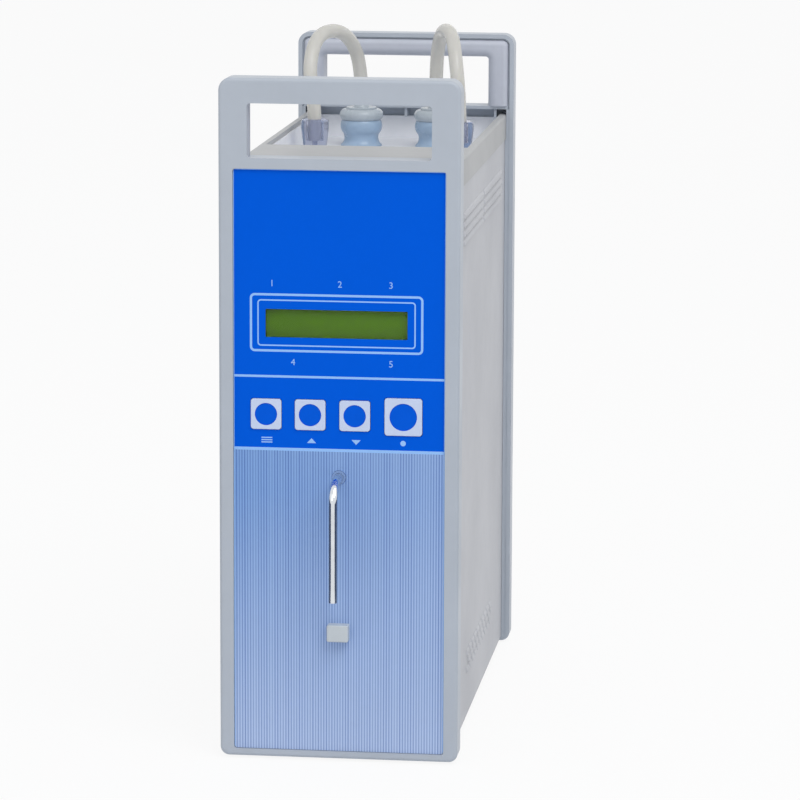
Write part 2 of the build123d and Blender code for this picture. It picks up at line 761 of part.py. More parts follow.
def main_board():
    """The main circuit board, its parts, standoffs and screws, on the left of the chassis."""
    right = chassis_left - standoff_length
    left = right - board_thickness
    board = box_between(left, right, main_board_front, main_board_back, main_board_bottom, main_board_top)
    standoffs, screws = [], []
    for y, z in board_screw_places():
        board -= rod(screw_radius + running, (left - 1, y, z), (right + 1, y, z))
        standoffs.append(sleeve(standoff_radius, screw_radius + running, (right, y, z), (chassis_left, y, z)))
        screws.append(screw((left, y, z), (1, 0, 0), board_thickness + standoff_length + chassis_thickness))
    along = main_board_back - main_board_front
    rise = main_board_top - main_board_bottom
    chips = []
    for share_along, share_up, wide, high, out in chip_blocks:
        y = main_board_front + share_along * along
        z = main_board_bottom + share_up * rise
        chips.append(box_between(left - out, left, y, y + wide, z, z + high))
    for share_along, share_up in can_places:
        y = main_board_front + share_along * along
        z = main_board_bottom + share_up * rise
        chips.append(rod(can_radius, (left - can_height, y, z), (left, y, z)))
    return board, standoffs, screws, chips


def transformer():
    """The ring-core mains transformer, and its bolt with a broad dished flange."""
    x, y = transformer_middle
    top = floor_top + transformer_height
    ring = sleeve(transformer_radius, transformer_hole, (x, y, floor_top), (x, y, top))
    ring = fillet(ring.edges().filter_by(GeomType.CIRCLE).group_by(SortBy.RADIUS)[-1], transformer_round)
    flange_top = top + bolt_flange_thickness
    bolt = rod(bolt_radius, (x, y, panel_bottom), (x, y, top))
    bolt += rod(bolt_flange_radius, (x, y, top), (x, y, flange_top))
    bolt += extrude(Plane(origin=(x, y, flange_top)) * RegularPolygon(4.0, 6, major_radius=False), 3)
    return ring, bolt


def cell_screw_places():
    """Where the cell is screwed to its seat on the chassis, back and up."""
    return [(cell_front + along, cell_bottom + 12) for along in (6.0, 26.0)]


def measuring_cell():
    """The block that the sample passes through, with its transducers, heater and screws."""
    middle = cell_front + cell_half
    block = box_between(-cell_half, cell_half, cell_front, cell_back, cell_bottom, cell_top)
    block -= rod(cell_bore, (0, middle, cell_bottom - 1), (0, middle, cell_top + 1))
    inlet = (0, cell_front - inner_barb_length, pipe_height)
    outlet = (0, cell_back + inner_barb_length, cell_top - cell_outlet_drop)
    block += rod(pipe_radius, inlet, (0, cell_front, pipe_height))
    block += rod(inner_barb_radius, (0, cell_back, outlet[2]), outlet)
    block -= rod(pipe_bore, inlet, (0, middle, pipe_height))
    block -= rod(barb_bore, (0, middle, outlet[2]), outlet)
    transducers = [rod(transducer_radius, (0, middle, face), (0, middle, face + reach))
                   for face, reach in ((cell_bottom, -transducer_height), (cell_top, transducer_height))]
    hot = cell_half + running
    outer = hot + heater_thickness
    heater_top = heater_bottom + heater_height
    heater = box_between(-outer, outer, middle - outer, middle + outer, heater_bottom, heater_top)
    heater -= box_between(-hot, hot, middle - hot, middle + hot, heater_bottom - 1, heater_top + 1)
    screws = []
    for y, z in cell_screw_places():
        block -= rod(screw_radius + running, (-cell_half - 1, y, z), (-cell_half + 6, y, z))
        screws.append(screw((-cell_half - chassis_thickness, y, z), (1, 0, 0), 6.5))
    return block, transducers, heater, screws


def pump_foot_screws():
    """Where the pump's bracket is screwed to the chassis, back and up."""
    foot_middle = pump_along + pump_side / 2 + bracket_thickness + 6
    return [(foot_middle, pump_height + z) for z in (-14.0, 14.0)]


def pump_corner_screws():
    """Where the pump's cover is screwed through the head to the bracket."""
    reach = pump_side / 2 - 3.0
    return [(pump_along + y, pump_height + z) for y in (-reach, reach) for z in (-reach, reach)]


def pump():
    """The peristaltic pump: motor, bracket, head, cover, screws, rotor on its shaft, and rollers."""
    y, z = pump_along, pump_height
    half = pump_side / 2
    wall = bracket_thickness
    cover_right = head_right + pump_cover_thickness
    shaft_end = head_right - 2
    motor = rod(motor_radius, (motor_left, y, z), (motor_right, y, z))
    motor -= rod(shaft_radius + running, (motor_right - 10, y, z), (motor_right + 1, y, z))
    bracket = box_between(motor_right, head_left, y - half, y + half + wall, z - half, z + half)
    arm = y + half
    bracket += box_between(chassis_right, head_left, arm, arm + wall, z - half, z + half)
    bracket += box_between(chassis_right, chassis_right + wall, arm, arm + wall + 12, z - half, z + half)
    bracket -= rod(shaft_radius + 2, (motor_right - 1, y, z), (head_left + 1, y, z))
    for screw_y, screw_z in pump_foot_screws():
        bracket -= rod(screw_radius + running, (chassis_right - 1, screw_y, screw_z),
                       (chassis_right + wall + 1, screw_y, screw_z))
    head = box_between(head_left, head_right, y - half, y + half, z - half, z + half)
    head -= rod(track_radius, (cavity_left, y, z), (head_right + 1, y, z))
    head -= rod(shaft_radius + 2, (head_left - 1, y, z), (cavity_left + 1, y, z))
    channel = pump_tube_radius + slip
    for away in (-1, 1):
        middle = y + away * tube_circle
        head -= box_between(cavity_left, head_right + 1, middle - channel, middle + channel, z, z + half + 1)
    cover = box_between(head_right, cover_right, y - half, y + half, z - half, z + half)
    screws = []
    for screw_y, screw_z in pump_corner_screws():
        hole = rod(screw_radius + running, (motor_right - 1, screw_y, screw_z),
                   (cover_right + 1, screw_y, screw_z))
        head, cover, bracket = head - hole, cover - hole, bracket - hole
        screws.append(screw((cover_right, screw_y, screw_z), (-1, 0, 0), cover_right - motor_right))
    for screw_y, screw_z in pump_foot_screws():
        screws.append(screw((chassis_right + wall, screw_y, screw_z), (-1, 0, 0), wall + chassis_thickness))

    disc_gap = 0.5
    low_disc = cavity_left + disc_gap
    high_disc = shaft_end - rotor_disc_thickness
    rotor = rod(shaft_radius, (motor_right - 9.5, y, z), (shaft_end, y, z))
    rotor += rod(rotor_disc_radius, (low_disc, y, z), (low_disc + rotor_disc_thickness, y, z))
    rotor += rod(rotor_disc_radius, (high_disc, y, z), (shaft_end, y, z))
    rotor += rod(rotor_hub_radius, (low_disc, y, z), (shaft_end, y, z))
    rollers = []
    for place in PolarLocations(roller_circle, roller_count):
        pin_y, pin_z = y + place.position.X, z + place.position.Y
        rotor += rod(roller_pin_radius, (low_disc, pin_y, pin_z), (shaft_end, pin_y, pin_z))
        rollers.append(sleeve(roller_radius, roller_pin_radius + running,
                              (low_disc + rotor_disc_thickness + roller_gap, pin_y, pin_z),
                              (high_disc - roller_gap, pin_y, pin_z)))
    return motor, bracket, head, cover, screws, rotor, rollers


def pump_tube():
    """The soft tube from the left socket, down and round the pump's track, to the right socket."""
    before, after = pump_along - tube_circle, pump_along + tube_circle
    low = pump_height - tube_circle
    high = pump_height + pump_side + 2
    points = [
        (-socket_across, socket_along, barb_end),
        (-socket_across, socket_along, barb_end - 28),
        (tube_across - 22, pump_along - 10, barb_end - 30),
        (tube_across, before, high),
        (tube_across, before, low),
        (tube_across, after, low),
        (tube_across, after, high),
        (socket_across, socket_along, barb_end - 30),
        (socket_across, socket_along, barb_end),
    ]
    radii = bend_radii(points)
    radii[3] = radii[4] = tube_circle - 0.01
    return tube_along(points, radii, pump_tube_radius, pump_tube_bore)


def cell_hose():
    """The hose from the measuring cell's outlet to the left port."""
    height_out = cell_top - cell_outlet_drop
    points = [
        (0, cell_back, height_out),
        (0, cell_back + 18, height_out),
        (-12, -8, cell_top + 6.5),
        (-15, 55, cell_top + 8.5),
        (-port_across, port_along, barb_end - 39),
        (-port_across, port_along, barb_end),
    ]
    return hose(points, inner_hose_radius, inner_barb_radius + running)


def inlet_hose():
    """The short hose from the back end of the sample pipe to the measuring cell."""
    hose_front = plate_back + gland_length + clip_thickness + 1
    return sleeve(inlet_hose_radius, pipe_radius + running, (0, hose_front, pipe_height),
                  (0, cell_front, pipe_height))


def display_ribbon():
    """The flat cable from the main board to the display's board."""
    board_left = chassis_left - standoff_length - board_thickness
    x0 = board_left - 1.5
    low = lcd_height - 16.8
    lcd_back = plate_back + lcd_glass_thickness + board_thickness
    route = FilletPolyline((x0, main_board_front + 4), (x0, chassis_front - 5), (-12, chassis_front - 5),
                           (-12, lcd_back + 2), radius=2.5)
    ribbon = Pos(0, 0, low) * extrude(trace(route, 0.6), 10)
    plug = box_between(x0 - 2.5, board_left, main_board_front + 3, main_board_front + 9, low - 1, low + 11)
    return ribbon + plug + box_between(-15, -9, lcd_back, lcd_back + 4, low - 1, low + 11)


def rear_slots():
    """The cooling slots of the rear panel, drawn as seen from the front."""
    slots = Sketch()
    for row in range(rear_slot_rows):
        height_middle = rear_slot_top - row * rear_slot_pitch
        slots += Pos(rear_slot_middle, height_middle) * SlotOverall(rear_slot_length, rear_slot_height)
    return slots


def rear_panel():
    """The sheet that closes the back of the housing, with a flange under the tray."""
    y0, y1 = rear_inside, rear_face
    top = tray_bottom - slip
    panel = box_between(-tray_half + slip, tray_half - slip, y0, y1, floor_top + slip, top)
    panel += box_between(-tray_half + 5, tray_half - 5, y0 - 12, y0, top - rear_thickness, top)
    panel -= slab(rear_slots(), y0 - 1, y1 + 1)
    panel -= front_slab(*inlet_place, inlet_width + 2 * slip, inlet_height + 2 * slip, 1.5,
                        y0 - 1, y1 + 1)
    rocker_wide = rocker_width + 2 * (rocker_gap + rocker_wall)
    rocker_high = 2 * (rocker_radius + rocker_gap + rocker_wall)
    panel -= front_slab(*rocker_place, rocker_wide + 2 * slip, rocker_high + 2 * slip, 0.5, y0 - 1, y1 + 1)
    x, z = serial_place
    panel -= front_slab(x, z, serial_shell_width + 2, serial_shell_height + 2, 1, y0 - 1, y1 + 1)
    for away in (-1, 1):
        hole_x = x + away * jack_spacing / 2
        panel -= rod(screw_radius + running, (hole_x, y0 - 1, z), (hole_x, y1 + 1, z))
    for screw_x, screw_z in rear_low_screws() + rear_high_screws():
        panel -= rod(screw_radius + running, (screw_x, y0 - 1, screw_z), (screw_x, y1 + 1, screw_z))
    return panel


def rear_screws():
    """The screws of the rear panel."""
    length = rear_thickness + slip + panel_thickness
    return [screw((x, rear_face, z), (0, -1, 0), length) for x, z in rear_low_screws() + rear_high_screws()]


def power_inlet():
    """The mains inlet: a recessed socket with three pins."""
    x, z = inlet_place
    body_front = rear_face - inlet_depth
    face = rear_face + inlet_flange
    margin = 2 * inlet_margin
    inlet = front_slab(x, z, inlet_width, inlet_height, 1.5, body_front, rear_face)
    inlet += front_slab(x, z, inlet_width + margin, inlet_height + margin, 3, rear_face, face)
    floor = body_front + 3
    inlet -= front_slab(x, z, inlet_width - 2 * inlet_wall, inlet_height - 2 * inlet_wall, 2.5,
                        floor, face + 1)
    for pin_x, pin_z in ((-7.0, -2.0), (7.0, -2.0), (0.0, 2.5)):
        inlet += box_between(x + pin_x - 1, x + pin_x + 1, floor, rear_face - 3, z + pin_z - 2, z + pin_z + 2)
        inlet += box_between(x + pin_x - 0.4, x + pin_x + 0.4, body_front - 8, body_front,
                             z + pin_z - 3, z + pin_z + 3)
    return inlet


def power_switch():
    """The mains switch: its frame, and the rocker resting on its low side."""
    x, z = rocker_place
    open_wide = rocker_width + 2 * rocker_gap
    open_high = 2 * (rocker_radius + rocker_gap)
    wall = 2 * rocker_wall
    face = rear_face + rocker_flange
    body_front = rear_face - rocker_depth
    frame = front_slab(x, z, open_wide + wall, open_high + wall, 0.5, body_front, rear_face)
    margin = wall + 2 * rocker_margin
    frame += front_slab(x, z, open_wide + margin, open_high + margin, 1, rear_face, face)
    frame -= front_slab(x, z, open_wide, open_high, 0.4, body_front + rocker_wall, face + 1)
    pivot = rear_face - rocker_pivot_depth
    pin = open_wide / 2 + rocker_wall * 0.7
    frame -= rod(1.0 + running, (x - pin - slip, pivot, z), (x + pin + slip, pivot, z))
    low_y = rocker_valley - 12
    far = rocker_radius + 1
    rise = far * tan(radians(rocker_swing / 2))
    v_top = Polyline((low_y, -far), (rocker_valley + rise, -far), (rocker_valley, 0),
                     (rocker_valley + rise, far), (low_y, far), close=True)
    profile = Circle(rocker_radius) & make_face(v_top)
    half = rocker_width / 2
    rocker = extrude(Plane.YZ.offset(-half) * profile, rocker_width)
    rocker += rod(1.0, (-pin, 0, 0), (pin, 0, 0))
    rocker = Pos(x, pivot, z) * Rot(-rocker_swing / 2, 0, 0) * rocker
    return frame, rocker


def serial_connector():
    """The data connector on the rear panel, and its two jack screws."""
    x, z = serial_place
    body = front_slab(x, z, serial_shell_width + 1.6, serial_shell_height + 1.6, 1,
                      rear_inside - 7, rear_face)
    flange = front_slab(x, z, serial_width, serial_height, 1.5, rear_face, rear_face + 0.8)
    for away in (-1, 1):
        hole_x = x + away * jack_spacing / 2
        flange -= rod(screw_radius + running, (hole_x, rear_face - 1, z), (hole_x, rear_face + 2, z))
    shell_back = rear_face + serial_shell_reach
    shell = front_slab(x, z, serial_shell_width, serial_shell_height, 2.2, rear_face, shell_back)
    for count, drop in ((5, -1.42), (4, 1.42)):
        for place in range(count):
            pin_x = x + (place - (count - 1) / 2) * 2.76
            shell -= rod(0.6, (pin_x, shell_back - 3, z + drop), (pin_x, shell_back + 1, z + drop))
    jacks = []
    for away in (-1, 1):
        seat = (x + away * jack_spacing / 2, rear_face + 0.8, z)
        jack = extrude(Plane(origin=seat, z_dir=(0, 1, 0)) * RegularPolygon(2.4, 6, major_radius=False), 4.2)
        jack += rod(screw_radius, (seat[0], rear_inside - 3, z), seat)
        jacks.append(jack)
    return body + flange + shell, jacks


def group(pieces):
    """Several separate solids under one name."""
    return Compound([solid for piece in pieces for solid in piece.solids()])


def build():
    """Every piece of the instrument by name, with Y = 0 in the middle of the housing."""
    parts = {}
    parts["front_frame"] = end_frame(aperture_top, cover_top + seam)
    parts["front_handle_grip"] = handle_liner()
    parts["rear_frame"] = mirror(end_frame(rear_aperture_top, cover_top - skirt_wall), about=Plane.XZ)
    parts["rear_handle_grip"] = mirror(parts["front_handle_grip"], about=Plane.XZ)
    parts["right_side_panel"] = side_panel()
    parts["left_side_panel"] = mirror(parts["right_side_panel"], about=Plane.YZ)
    parts["base_plate"] = base_plate()
    parts["top_cover"] = top_cover()
    parts["hose_tray"] = hose_tray()
    parts["rubber_feet"] = group(feet())

    parts["front_plate"] = front_plate()
    parts["front_overlay"] = front_overlay()
    for name, x, side in zip(key_names, key_places, key_sizes):
        parts[name + "_key"] = key(x, side)
    board, switches, key_pillars = keypad()
    parts["keypad_board"] = board
    parts["keypad_switches"] = group(switches)
    pane, glass, board, pillars = display()
    parts["display_window"] = pane
    parts["display_glass"] = glass
    parts["display_board"] = board
    parts["sample_pipe"] = sample_pipe()
    parts["pipe_bush"], parts["pipe_clip"] = pipe_fittings()
    parts["cup_peg"], peg_nut = cup_peg()

    for side, name in ((-1, "left"), (1, "right")):
        parts[name + "_hose_socket"] = hose_socket(side * socket_across)
        parts[name + "_port_body"] = port_body(side * port_across)
        parts[name + "_port_cap"] = port_cap(side * port_across)
        parts[name + "_hose_loop"] = hose(loop_route(side), hose_radius, hose_bore)
    parts["panel_nuts"] = group(fitting_nuts() + [peg_nut])

    parts["inner_chassis"] = inner_chassis()
    board, standoffs, board_screws, chips = main_board()
    parts["main_board"] = board
    parts["board_standoffs"] = group(standoffs + key_pillars + pillars)
    parts["board_components"] = group(chips)
    ring, bolt = transformer()
    parts["ring_transformer"] = ring
    block, transducers, heater, cell_screws = measuring_cell()
    parts["measuring_cell"] = block
    parts["cell_transducers"] = group(transducers)
    parts["cell_heater"] = heater
    parts["inlet_hose"] = inlet_hose()
    parts["cell_hose"] = cell_hose()
    motor, bracket, head, cover, pump_screws, rotor, rollers = pump()
    parts["pump_motor"] = motor
    parts["pump_bracket"] = bracket
    parts["pump_head"] = head
    parts["pump_cover"] = cover
    parts["pump_rotor"] = rotor
    for number, roller in enumerate(rollers, 1):
        parts["pump_roller_%d" % number] = roller
    parts["pump_tube"] = pump_tube()
    foot_top = floor_top + chassis_thickness
    foot_screws = [screw((x, y, foot_top), (0, 0, -1), foot_top - panel_bottom)
                   for x, y in chassis_screw_places()]
    parts["inner_fasteners"] = group(foot_screws + board_screws + cell_screws + pump_screws + [bolt])
    parts["display_ribbon"] = display_ribbon()

    parts["rear_panel"] = rear_panel()
    parts["power_inlet"] = power_inlet()
    parts["switch_frame"], parts["switch_rocker"] = power_switch()
    connector, jacks = serial_connector()
    parts["data_connector"] = connector
    parts["rear_screws"] = group(rear_screws() + jacks)
    return parts


pipe_front = front - pipe_reach - pipe_radius
to_origin = Pos(0, -(pipe_front + back) / 2, 0)
pieces = build()
os.makedirs("parts", exist_ok=True)
for name, piece in pieces.items():
    export_step(to_origin * piece, "parts/" + name + ".step")
print(len(pieces), "pieces")
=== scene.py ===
"""Milk analyzer: camera, hoses, printed front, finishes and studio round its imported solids."""

import json
import math

import bmesh
import bpy
from mathutils import Matrix, Vector


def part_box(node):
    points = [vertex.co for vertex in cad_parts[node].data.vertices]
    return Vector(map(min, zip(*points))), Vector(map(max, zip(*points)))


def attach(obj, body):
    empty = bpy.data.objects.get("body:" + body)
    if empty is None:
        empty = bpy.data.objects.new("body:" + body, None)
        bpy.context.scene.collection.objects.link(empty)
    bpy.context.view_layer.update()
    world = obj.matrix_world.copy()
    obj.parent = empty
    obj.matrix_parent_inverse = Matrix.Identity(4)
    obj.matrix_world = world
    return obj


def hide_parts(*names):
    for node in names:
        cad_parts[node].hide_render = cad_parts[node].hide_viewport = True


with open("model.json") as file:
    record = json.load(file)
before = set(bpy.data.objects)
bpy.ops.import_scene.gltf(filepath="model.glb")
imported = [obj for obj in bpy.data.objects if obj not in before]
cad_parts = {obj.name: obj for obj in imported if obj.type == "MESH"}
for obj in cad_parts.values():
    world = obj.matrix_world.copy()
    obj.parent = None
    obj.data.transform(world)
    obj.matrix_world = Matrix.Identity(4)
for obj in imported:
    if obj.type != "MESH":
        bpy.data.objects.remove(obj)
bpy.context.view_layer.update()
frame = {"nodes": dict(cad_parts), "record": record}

bl_info = {
    "name": "Milk analyzer",
    "version": (1, 0, 0),
    "blender": (4, 5, 0),
    "location": "View3D > Sidebar > Analyzer",
    "description": "Gives the milk analyzer its hoses, printed front, finishes and studio",
    "category": "Object",
}

FLOAT = "NodeSocketFloat"
VECTOR = "NodeSocketVector"
WHITE = (1.0, 1.0, 1.0, 1.0)

# all places and lengths are in metres, angles in degrees where a name says so
CAMERA_PLACE = (0.23934, -1.86436, 0.46726)
CAMERA_DEGREES = {"yaw": 6.931, "pitch": 9.838, "roll": 0.216}
CAMERA_SENSOR_MM = 36.0

# where each hose runs, socket first, as the part's source has it
HOSE_ROUTES = {
    "left": (
        (-0.0341, 0.05075, 0.2554),
        (-0.0341, 0.05075, 0.2714),
        (-0.0372, 0.05075, 0.2895),
        (-0.0348, 0.06365, 0.3046),
        (-0.0248, 0.08185, 0.3049),
        (-0.0179, 0.09475, 0.2899),
        (-0.0179, 0.09475, 0.2703),
    ),
    "right": (
        (0.0341, 0.05075, 0.2554),
        (0.0341, 0.05075, 0.2714),
        (0.0325, 0.05075, 0.2910),
        (0.0290, 0.06365, 0.3056),
        (0.0220, 0.08185, 0.3058),
        (0.0179, 0.09475, 0.2906),
        (0.0179, 0.09475, 0.2703),
    ),
}
HOSE_LIP = 0.0003
HOSE_END_TAPER = 0.0006

# the side panels' slots as (place along, height, length), as the part's source has them
SLOT_ROW_STEP = 0.004
LONG_SLOT_MIDDLE, LONG_SLOT_AWAY, LONG_SLOT_TOP, LONG_SLOT_LENGTH = 0.01925, 0.043, 0.2355, 0.079
SHORT_SLOT_MIDDLE, SHORT_SLOT_STEP, SHORT_SLOT_TOP, SHORT_SLOT_LENGTH = 0.01475, 0.011, 0.033, 0.007
SHORT_SLOT_COUNT = 10
LONG_SLOTS = [
    (LONG_SLOT_MIDDLE + away * LONG_SLOT_AWAY, LONG_SLOT_TOP - row * SLOT_ROW_STEP, LONG_SLOT_LENGTH)
    for row in range(4)
    for away in (-1, 1)
]
SHORT_SLOTS = [
    (
        SHORT_SLOT_MIDDLE
        + (place - (SHORT_SLOT_COUNT - 1) / 2 + (row % 2 - 0.5) / 2) * SHORT_SLOT_STEP,
        SHORT_SLOT_TOP - row * SLOT_ROW_STEP,
        SHORT_SLOT_LENGTH,
    )
    for row in range(3)
    for place in range(SHORT_SLOT_COUNT)
]
HOOD_GAP = 0.00002
HOOD_END_STEP = 0.0006

# the front's print, from the keys' middles and from the display's
KEYS = ("mode", "up", "down", "ok")
KEY_EDGE = 0.0012
UPPER_RULE_RISE = 0.0166
LOWER_RULE_DROP = 0.0154
FILM_BORDER = 0.0003
OUTER_OUTLINE = {"rise": 0.00025, "half_width": 0.0378, "half_height": 0.01275, "corner": 0.0022}
INNER_OUTLINE = {"rise": 0.00018, "half_width": 0.0345, "half_height": 0.01018, "corner": 0.0016}
NUMBER_SPOTS = (
    (-0.0281, 0.0173),
    (0.0015, 0.0173),
    (0.0237, 0.0173),
    (-0.0189, -0.0170),
    (0.0238, -0.0170),
)
CAPITAL_SHARE = 0.7
CELL_PITCH, CELL_WIDTH, CELL_ROW_PITCH, CELL_ROW_GAP = 0.00355, 0.00295, 0.00595, 0.0007
DISPLAY_BOTTOM, DISPLAY_TOP = -0.0063, 0.0067

# the ring core's middle and the rocker's marks, as the part's source places them
RING_MIDDLE = (0.008, 0.0398)
TAPE_LAP_RADIANS = 0.11
ROCKER_ACROSS, ROCKER_BAR_HEIGHT, ROCKER_RING_HEIGHT = -0.020, 0.0415, 0.0305
ROCKER_RING_OUTER, ROCKER_RING_INNER = 0.0020, 0.0014

FLOOR_HALF = 9.0
FLOOR_DROP = 0.0002
FLOOR_WHITE_SHARE = 0.9
CARD_MIDDLE = (0.28, -0.2, 0.08)
CARD_HEIGHT, CARD_DEPTH = 0.16, 0.4
LAMP_TARGET = (0, 0, 0.15)


def paint(red, green, blue):
    """A linear colour from the 0 to 255 values that a screen shows."""
    shares = (value / 255 for value in (red, green, blue))
    return tuple(s / 12.92 if s <= 0.04045 else ((s + 0.055) / 1.055) ** 2.4 for s in shares)


def rgba(colour):
    return (*colour, 1.0)


def darker(colour, share):
    return tuple(value * share for value in colour)


def middle(name):
    """The middle of a solid's box."""
    low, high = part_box(name)
    return (low + high) / 2


def length(label, words, metres):
    return bpy.props.FloatProperty(
        name=label, description=words, default=metres, unit="LENGTH", precision=5
    )


def hue(label, words, *levels):
    return bpy.props.FloatVectorProperty(
        name=label, description=words, default=paint(*levels), size=3, min=0.0, max=1.0, subtype="COLOR"
    )


def power(label, words, amount):
    return bpy.props.FloatProperty(name=label, description=words, default=amount, min=0.0)


class HoseSizes(bpy.types.PropertyGroup):
    diameter: length("Hose diameter", "Outside diameter of the two clear hoses", 0.0065)
    swell: length("Swell", "How far the hose end swells over its barb", 0.0006)
    swell_length: length("Swell length", "Length of the swollen hose end", 0.0085)


class PrintSizes(bpy.types.PropertyGroup):
    stripe: length("Stripe pitch", "Distance from one fine stripe to the next", 0.0012)
    rule: length("Rule width", "Width of the pale lines across the front", 0.0010)
    outer_line: length("Outer outline", "Line width of the outer outline round the display", 0.0010)
    inner_line: length("Inner outline", "Line width of the inner outline round the display", 0.0006)
    number: length("Number height", "Height of the printed numbers", 0.0028)
    arrow: length("Arrow width", "Width of the printed arrows", 0.0040)
    ink: length("Ink thickness", "Thickness of the printed numbers and arrows", 0.00003)
    finger_spot: bpy.props.FloatProperty(
        name="Finger spot",
        description="Width of a key's round spot, as a share of its top",
        default=0.73,
        min=0.1,
        max=1.0,
    )


class LouverSizes(bpy.types.PropertyGroup):
    reach: length("Reach", "How far a pressed hood stands out of its panel", 0.0009)
    rise: length("Rise", "How far a hood starts above its slot's middle", 0.0015)
    drop: length("Drop", "How far a hood's lip hangs below its slot's middle", 0.0009)
    sheet: length("Sheet", "Thickness of the hood's lip", 0.0004)
    overlap: length("Overlap", "How far a hood runs past each end of its slot", 0.0010)


class Colours(bpy.types.PropertyGroup):
    frames: hue("End frames", "Satin paint of both end frames", 179, 187, 198)
    panels: hue("Side panels", "Fine-textured paint of the side panels", 193, 195, 201)
    cover: hue("Top cover", "Fine-textured paint of the top cover", 176, 178, 180)
    tray: hue("Hose tray", "Moulded tray that the hoses stand in", 243, 245, 250)
    film: hue("Front film", "Strong colour of the front film's upper part", 0, 92, 222)
    stripe: hue("Stripe", "Darker of the two stripe colours", 136, 157, 206)
    ground: hue("Stripe ground", "Paler of the two stripe colours", 190, 209, 240)
    fade: hue("Stripe fade", "Tint of the stripes towards their upper left corner", 181, 210, 239)
    line: hue("Printed line", "Pale lines, outlines and numbers", 152, 196, 252)
    keys: hue("Keys", "Square key tops", 203, 216, 243)
    display: hue("Display", "Lit display behind its window", 78, 120, 14)
    hose: hue("Hose", "Milky clear hose", 224, 223, 218)
    fittings: hue("Fittings", "Port bodies", 156, 180, 206)
    sockets: hue("Hose sockets", "Clear sockets that the hoses stand in", 204, 209, 226)
    caps: hue("Caps", "Round port caps", 177, 187, 196)
    peg: hue("Cup peg", "Square peg under the sample pipe", 196, 204, 210)


class Studio(bpy.types.PropertyGroup):
    lens: bpy.props.FloatProperty(
        name="Lens", description="Focal length of the camera", default=186.37, min=1.0, unit="CAMERA"
    )
    key: power("Key light", "Power of the upper lamp", 30.0)
    fill: power("Fill light", "Power of the left lamp", 6.0)
    sky: power("Room light", "Even light from all round", 0.6)
    floor: hue("Floor", "Plain pale floor", 236, 237, 239)


class AnalyzerLook(bpy.types.PropertyGroup):
    hoses: bpy.props.PointerProperty(type=HoseSizes)
    printing: bpy.props.PointerProperty(type=PrintSizes)
    louvers: bpy.props.PointerProperty(type=LouverSizes)
    colours: bpy.props.PointerProperty(type=Colours)
    studio: bpy.props.PointerProperty(type=Studio)


class Wiring:
    """Adds nodes to one shader tree and joins them."""

    def __init__(self, tree):
        self.tree = tree

    def give(self, socket, value):
        if isinstance(value, bpy.types.NodeSocket):
            self.tree.links.new(value, socket)
        else:
            socket.default_value = value

    def node(self, kind, values=None, **settings):
        made = self.tree.nodes.new(kind)
        for name, value in settings.items():
            setattr(made, name, value)
        for key, value in (values or {}).items():
            self.give(made.inputs[key], value)
        return made

    def calc(self, operation, *values):
        made = self.node("ShaderNodeMath", operation=operation)
        for socket, value in zip(made.inputs, values):
            self.give(socket, value)
        return made.outputs[0]

    def mix(self, share, first, second, blend="MIX"):
        made = self.node(
            "ShaderNodeMix", {0: share, 6: first, 7: second}, data_type="RGBA", blend_type=blend
        )
        return made.outputs[2]

    def mix_shaders(self, share, first, second):
        return self.node("ShaderNodeMixShader", {0: share, 1: first, 2: second}).outputs[0]

    def between(self, value, low, high, start=0.0, end=1.0):
        made = self.node(
            "ShaderNodeMapRange",
            {"Value": value, "From Min": low, "From Max": high, "To Min": start, "To Max": end},
        )
        return made.outputs[0]

    def noise(self, place, scale, detail, roughness=0.5):
        made = self.node(
            "ShaderNodeTexNoise",
            {"Vector": place, "Scale": scale, "Detail": detail, "Roughness": roughness},
        )
        return made.outputs[0]

    def axes(self, place):
        return self.node("ShaderNodeSeparateXYZ", {0: place}).outputs

    def effect(self, name, **values):
        made = self.node("ShaderNodeGroup", node_tree=bpy.data.node_groups[name])
        for key, value in values.items():
            self.give(made.inputs[key.replace("_", " ")], value)
        return made.outputs


def effect_group(name, inputs, outputs):
    """An empty node group with these sockets, and the wiring, input and output to fill it."""
    tree = bpy.data.node_groups.new(name, "ShaderNodeTree")
    for label, kind, value in inputs:
        socket = tree.interface.new_socket(name=label, in_out="INPUT", socket_type=kind)
        if value is not None:
            socket.default_value = value
    for label in outputs:
        tree.interface.new_socket(name=label, in_out="OUTPUT", socket_type=FLOAT)
    wires = Wiring(tree)
    return wires, wires.node("NodeGroupInput").outputs, wires.node("NodeGroupOutput").inputs


def add_surface_grain():
    """Fine bumps of paint or moulded plastic over slower waves."""
    wires, given, result = effect_group(
        "surface grain", (("Place", VECTOR, None), ("Size", FLOAT, 0.001)), ("Height", "Tone")
    )
    fine = wires.noise(given["Place"], wires.calc("DIVIDE", 1.0, given["Size"]), detail=3.0)
    slow = wires.noise(given["Place"], wires.calc("DIVIDE", 0.12, given["Size"]), detail=2.0)
    wires.give(result["Height"], wires.calc("MULTIPLY_ADD", slow, 0.5, fine))
    wires.give(result["Tone"], slow)


def add_handling_marks():
    """Patches where hands and dust have dulled the surface."""
    wires, given, result = effect_group(
        "handling marks", (("Place", VECTOR, None), ("Size", FLOAT, 0.03)), ("Dull", "Specks")
    )
    per_patch = wires.calc("DIVIDE", 1.0, given["Size"])
    patches = wires.noise(given["Place"], per_patch, detail=5.0, roughness=0.62)
    wires.give(result["Dull"], wires.between(patches, low=0.38, high=0.72))
    dots = wires.noise(given["Place"], wires.calc("DIVIDE", 40.0, given["Size"]), detail=1.0)
    wires.give(result["Specks"], wires.between(dots, low=0.74, high=0.80))


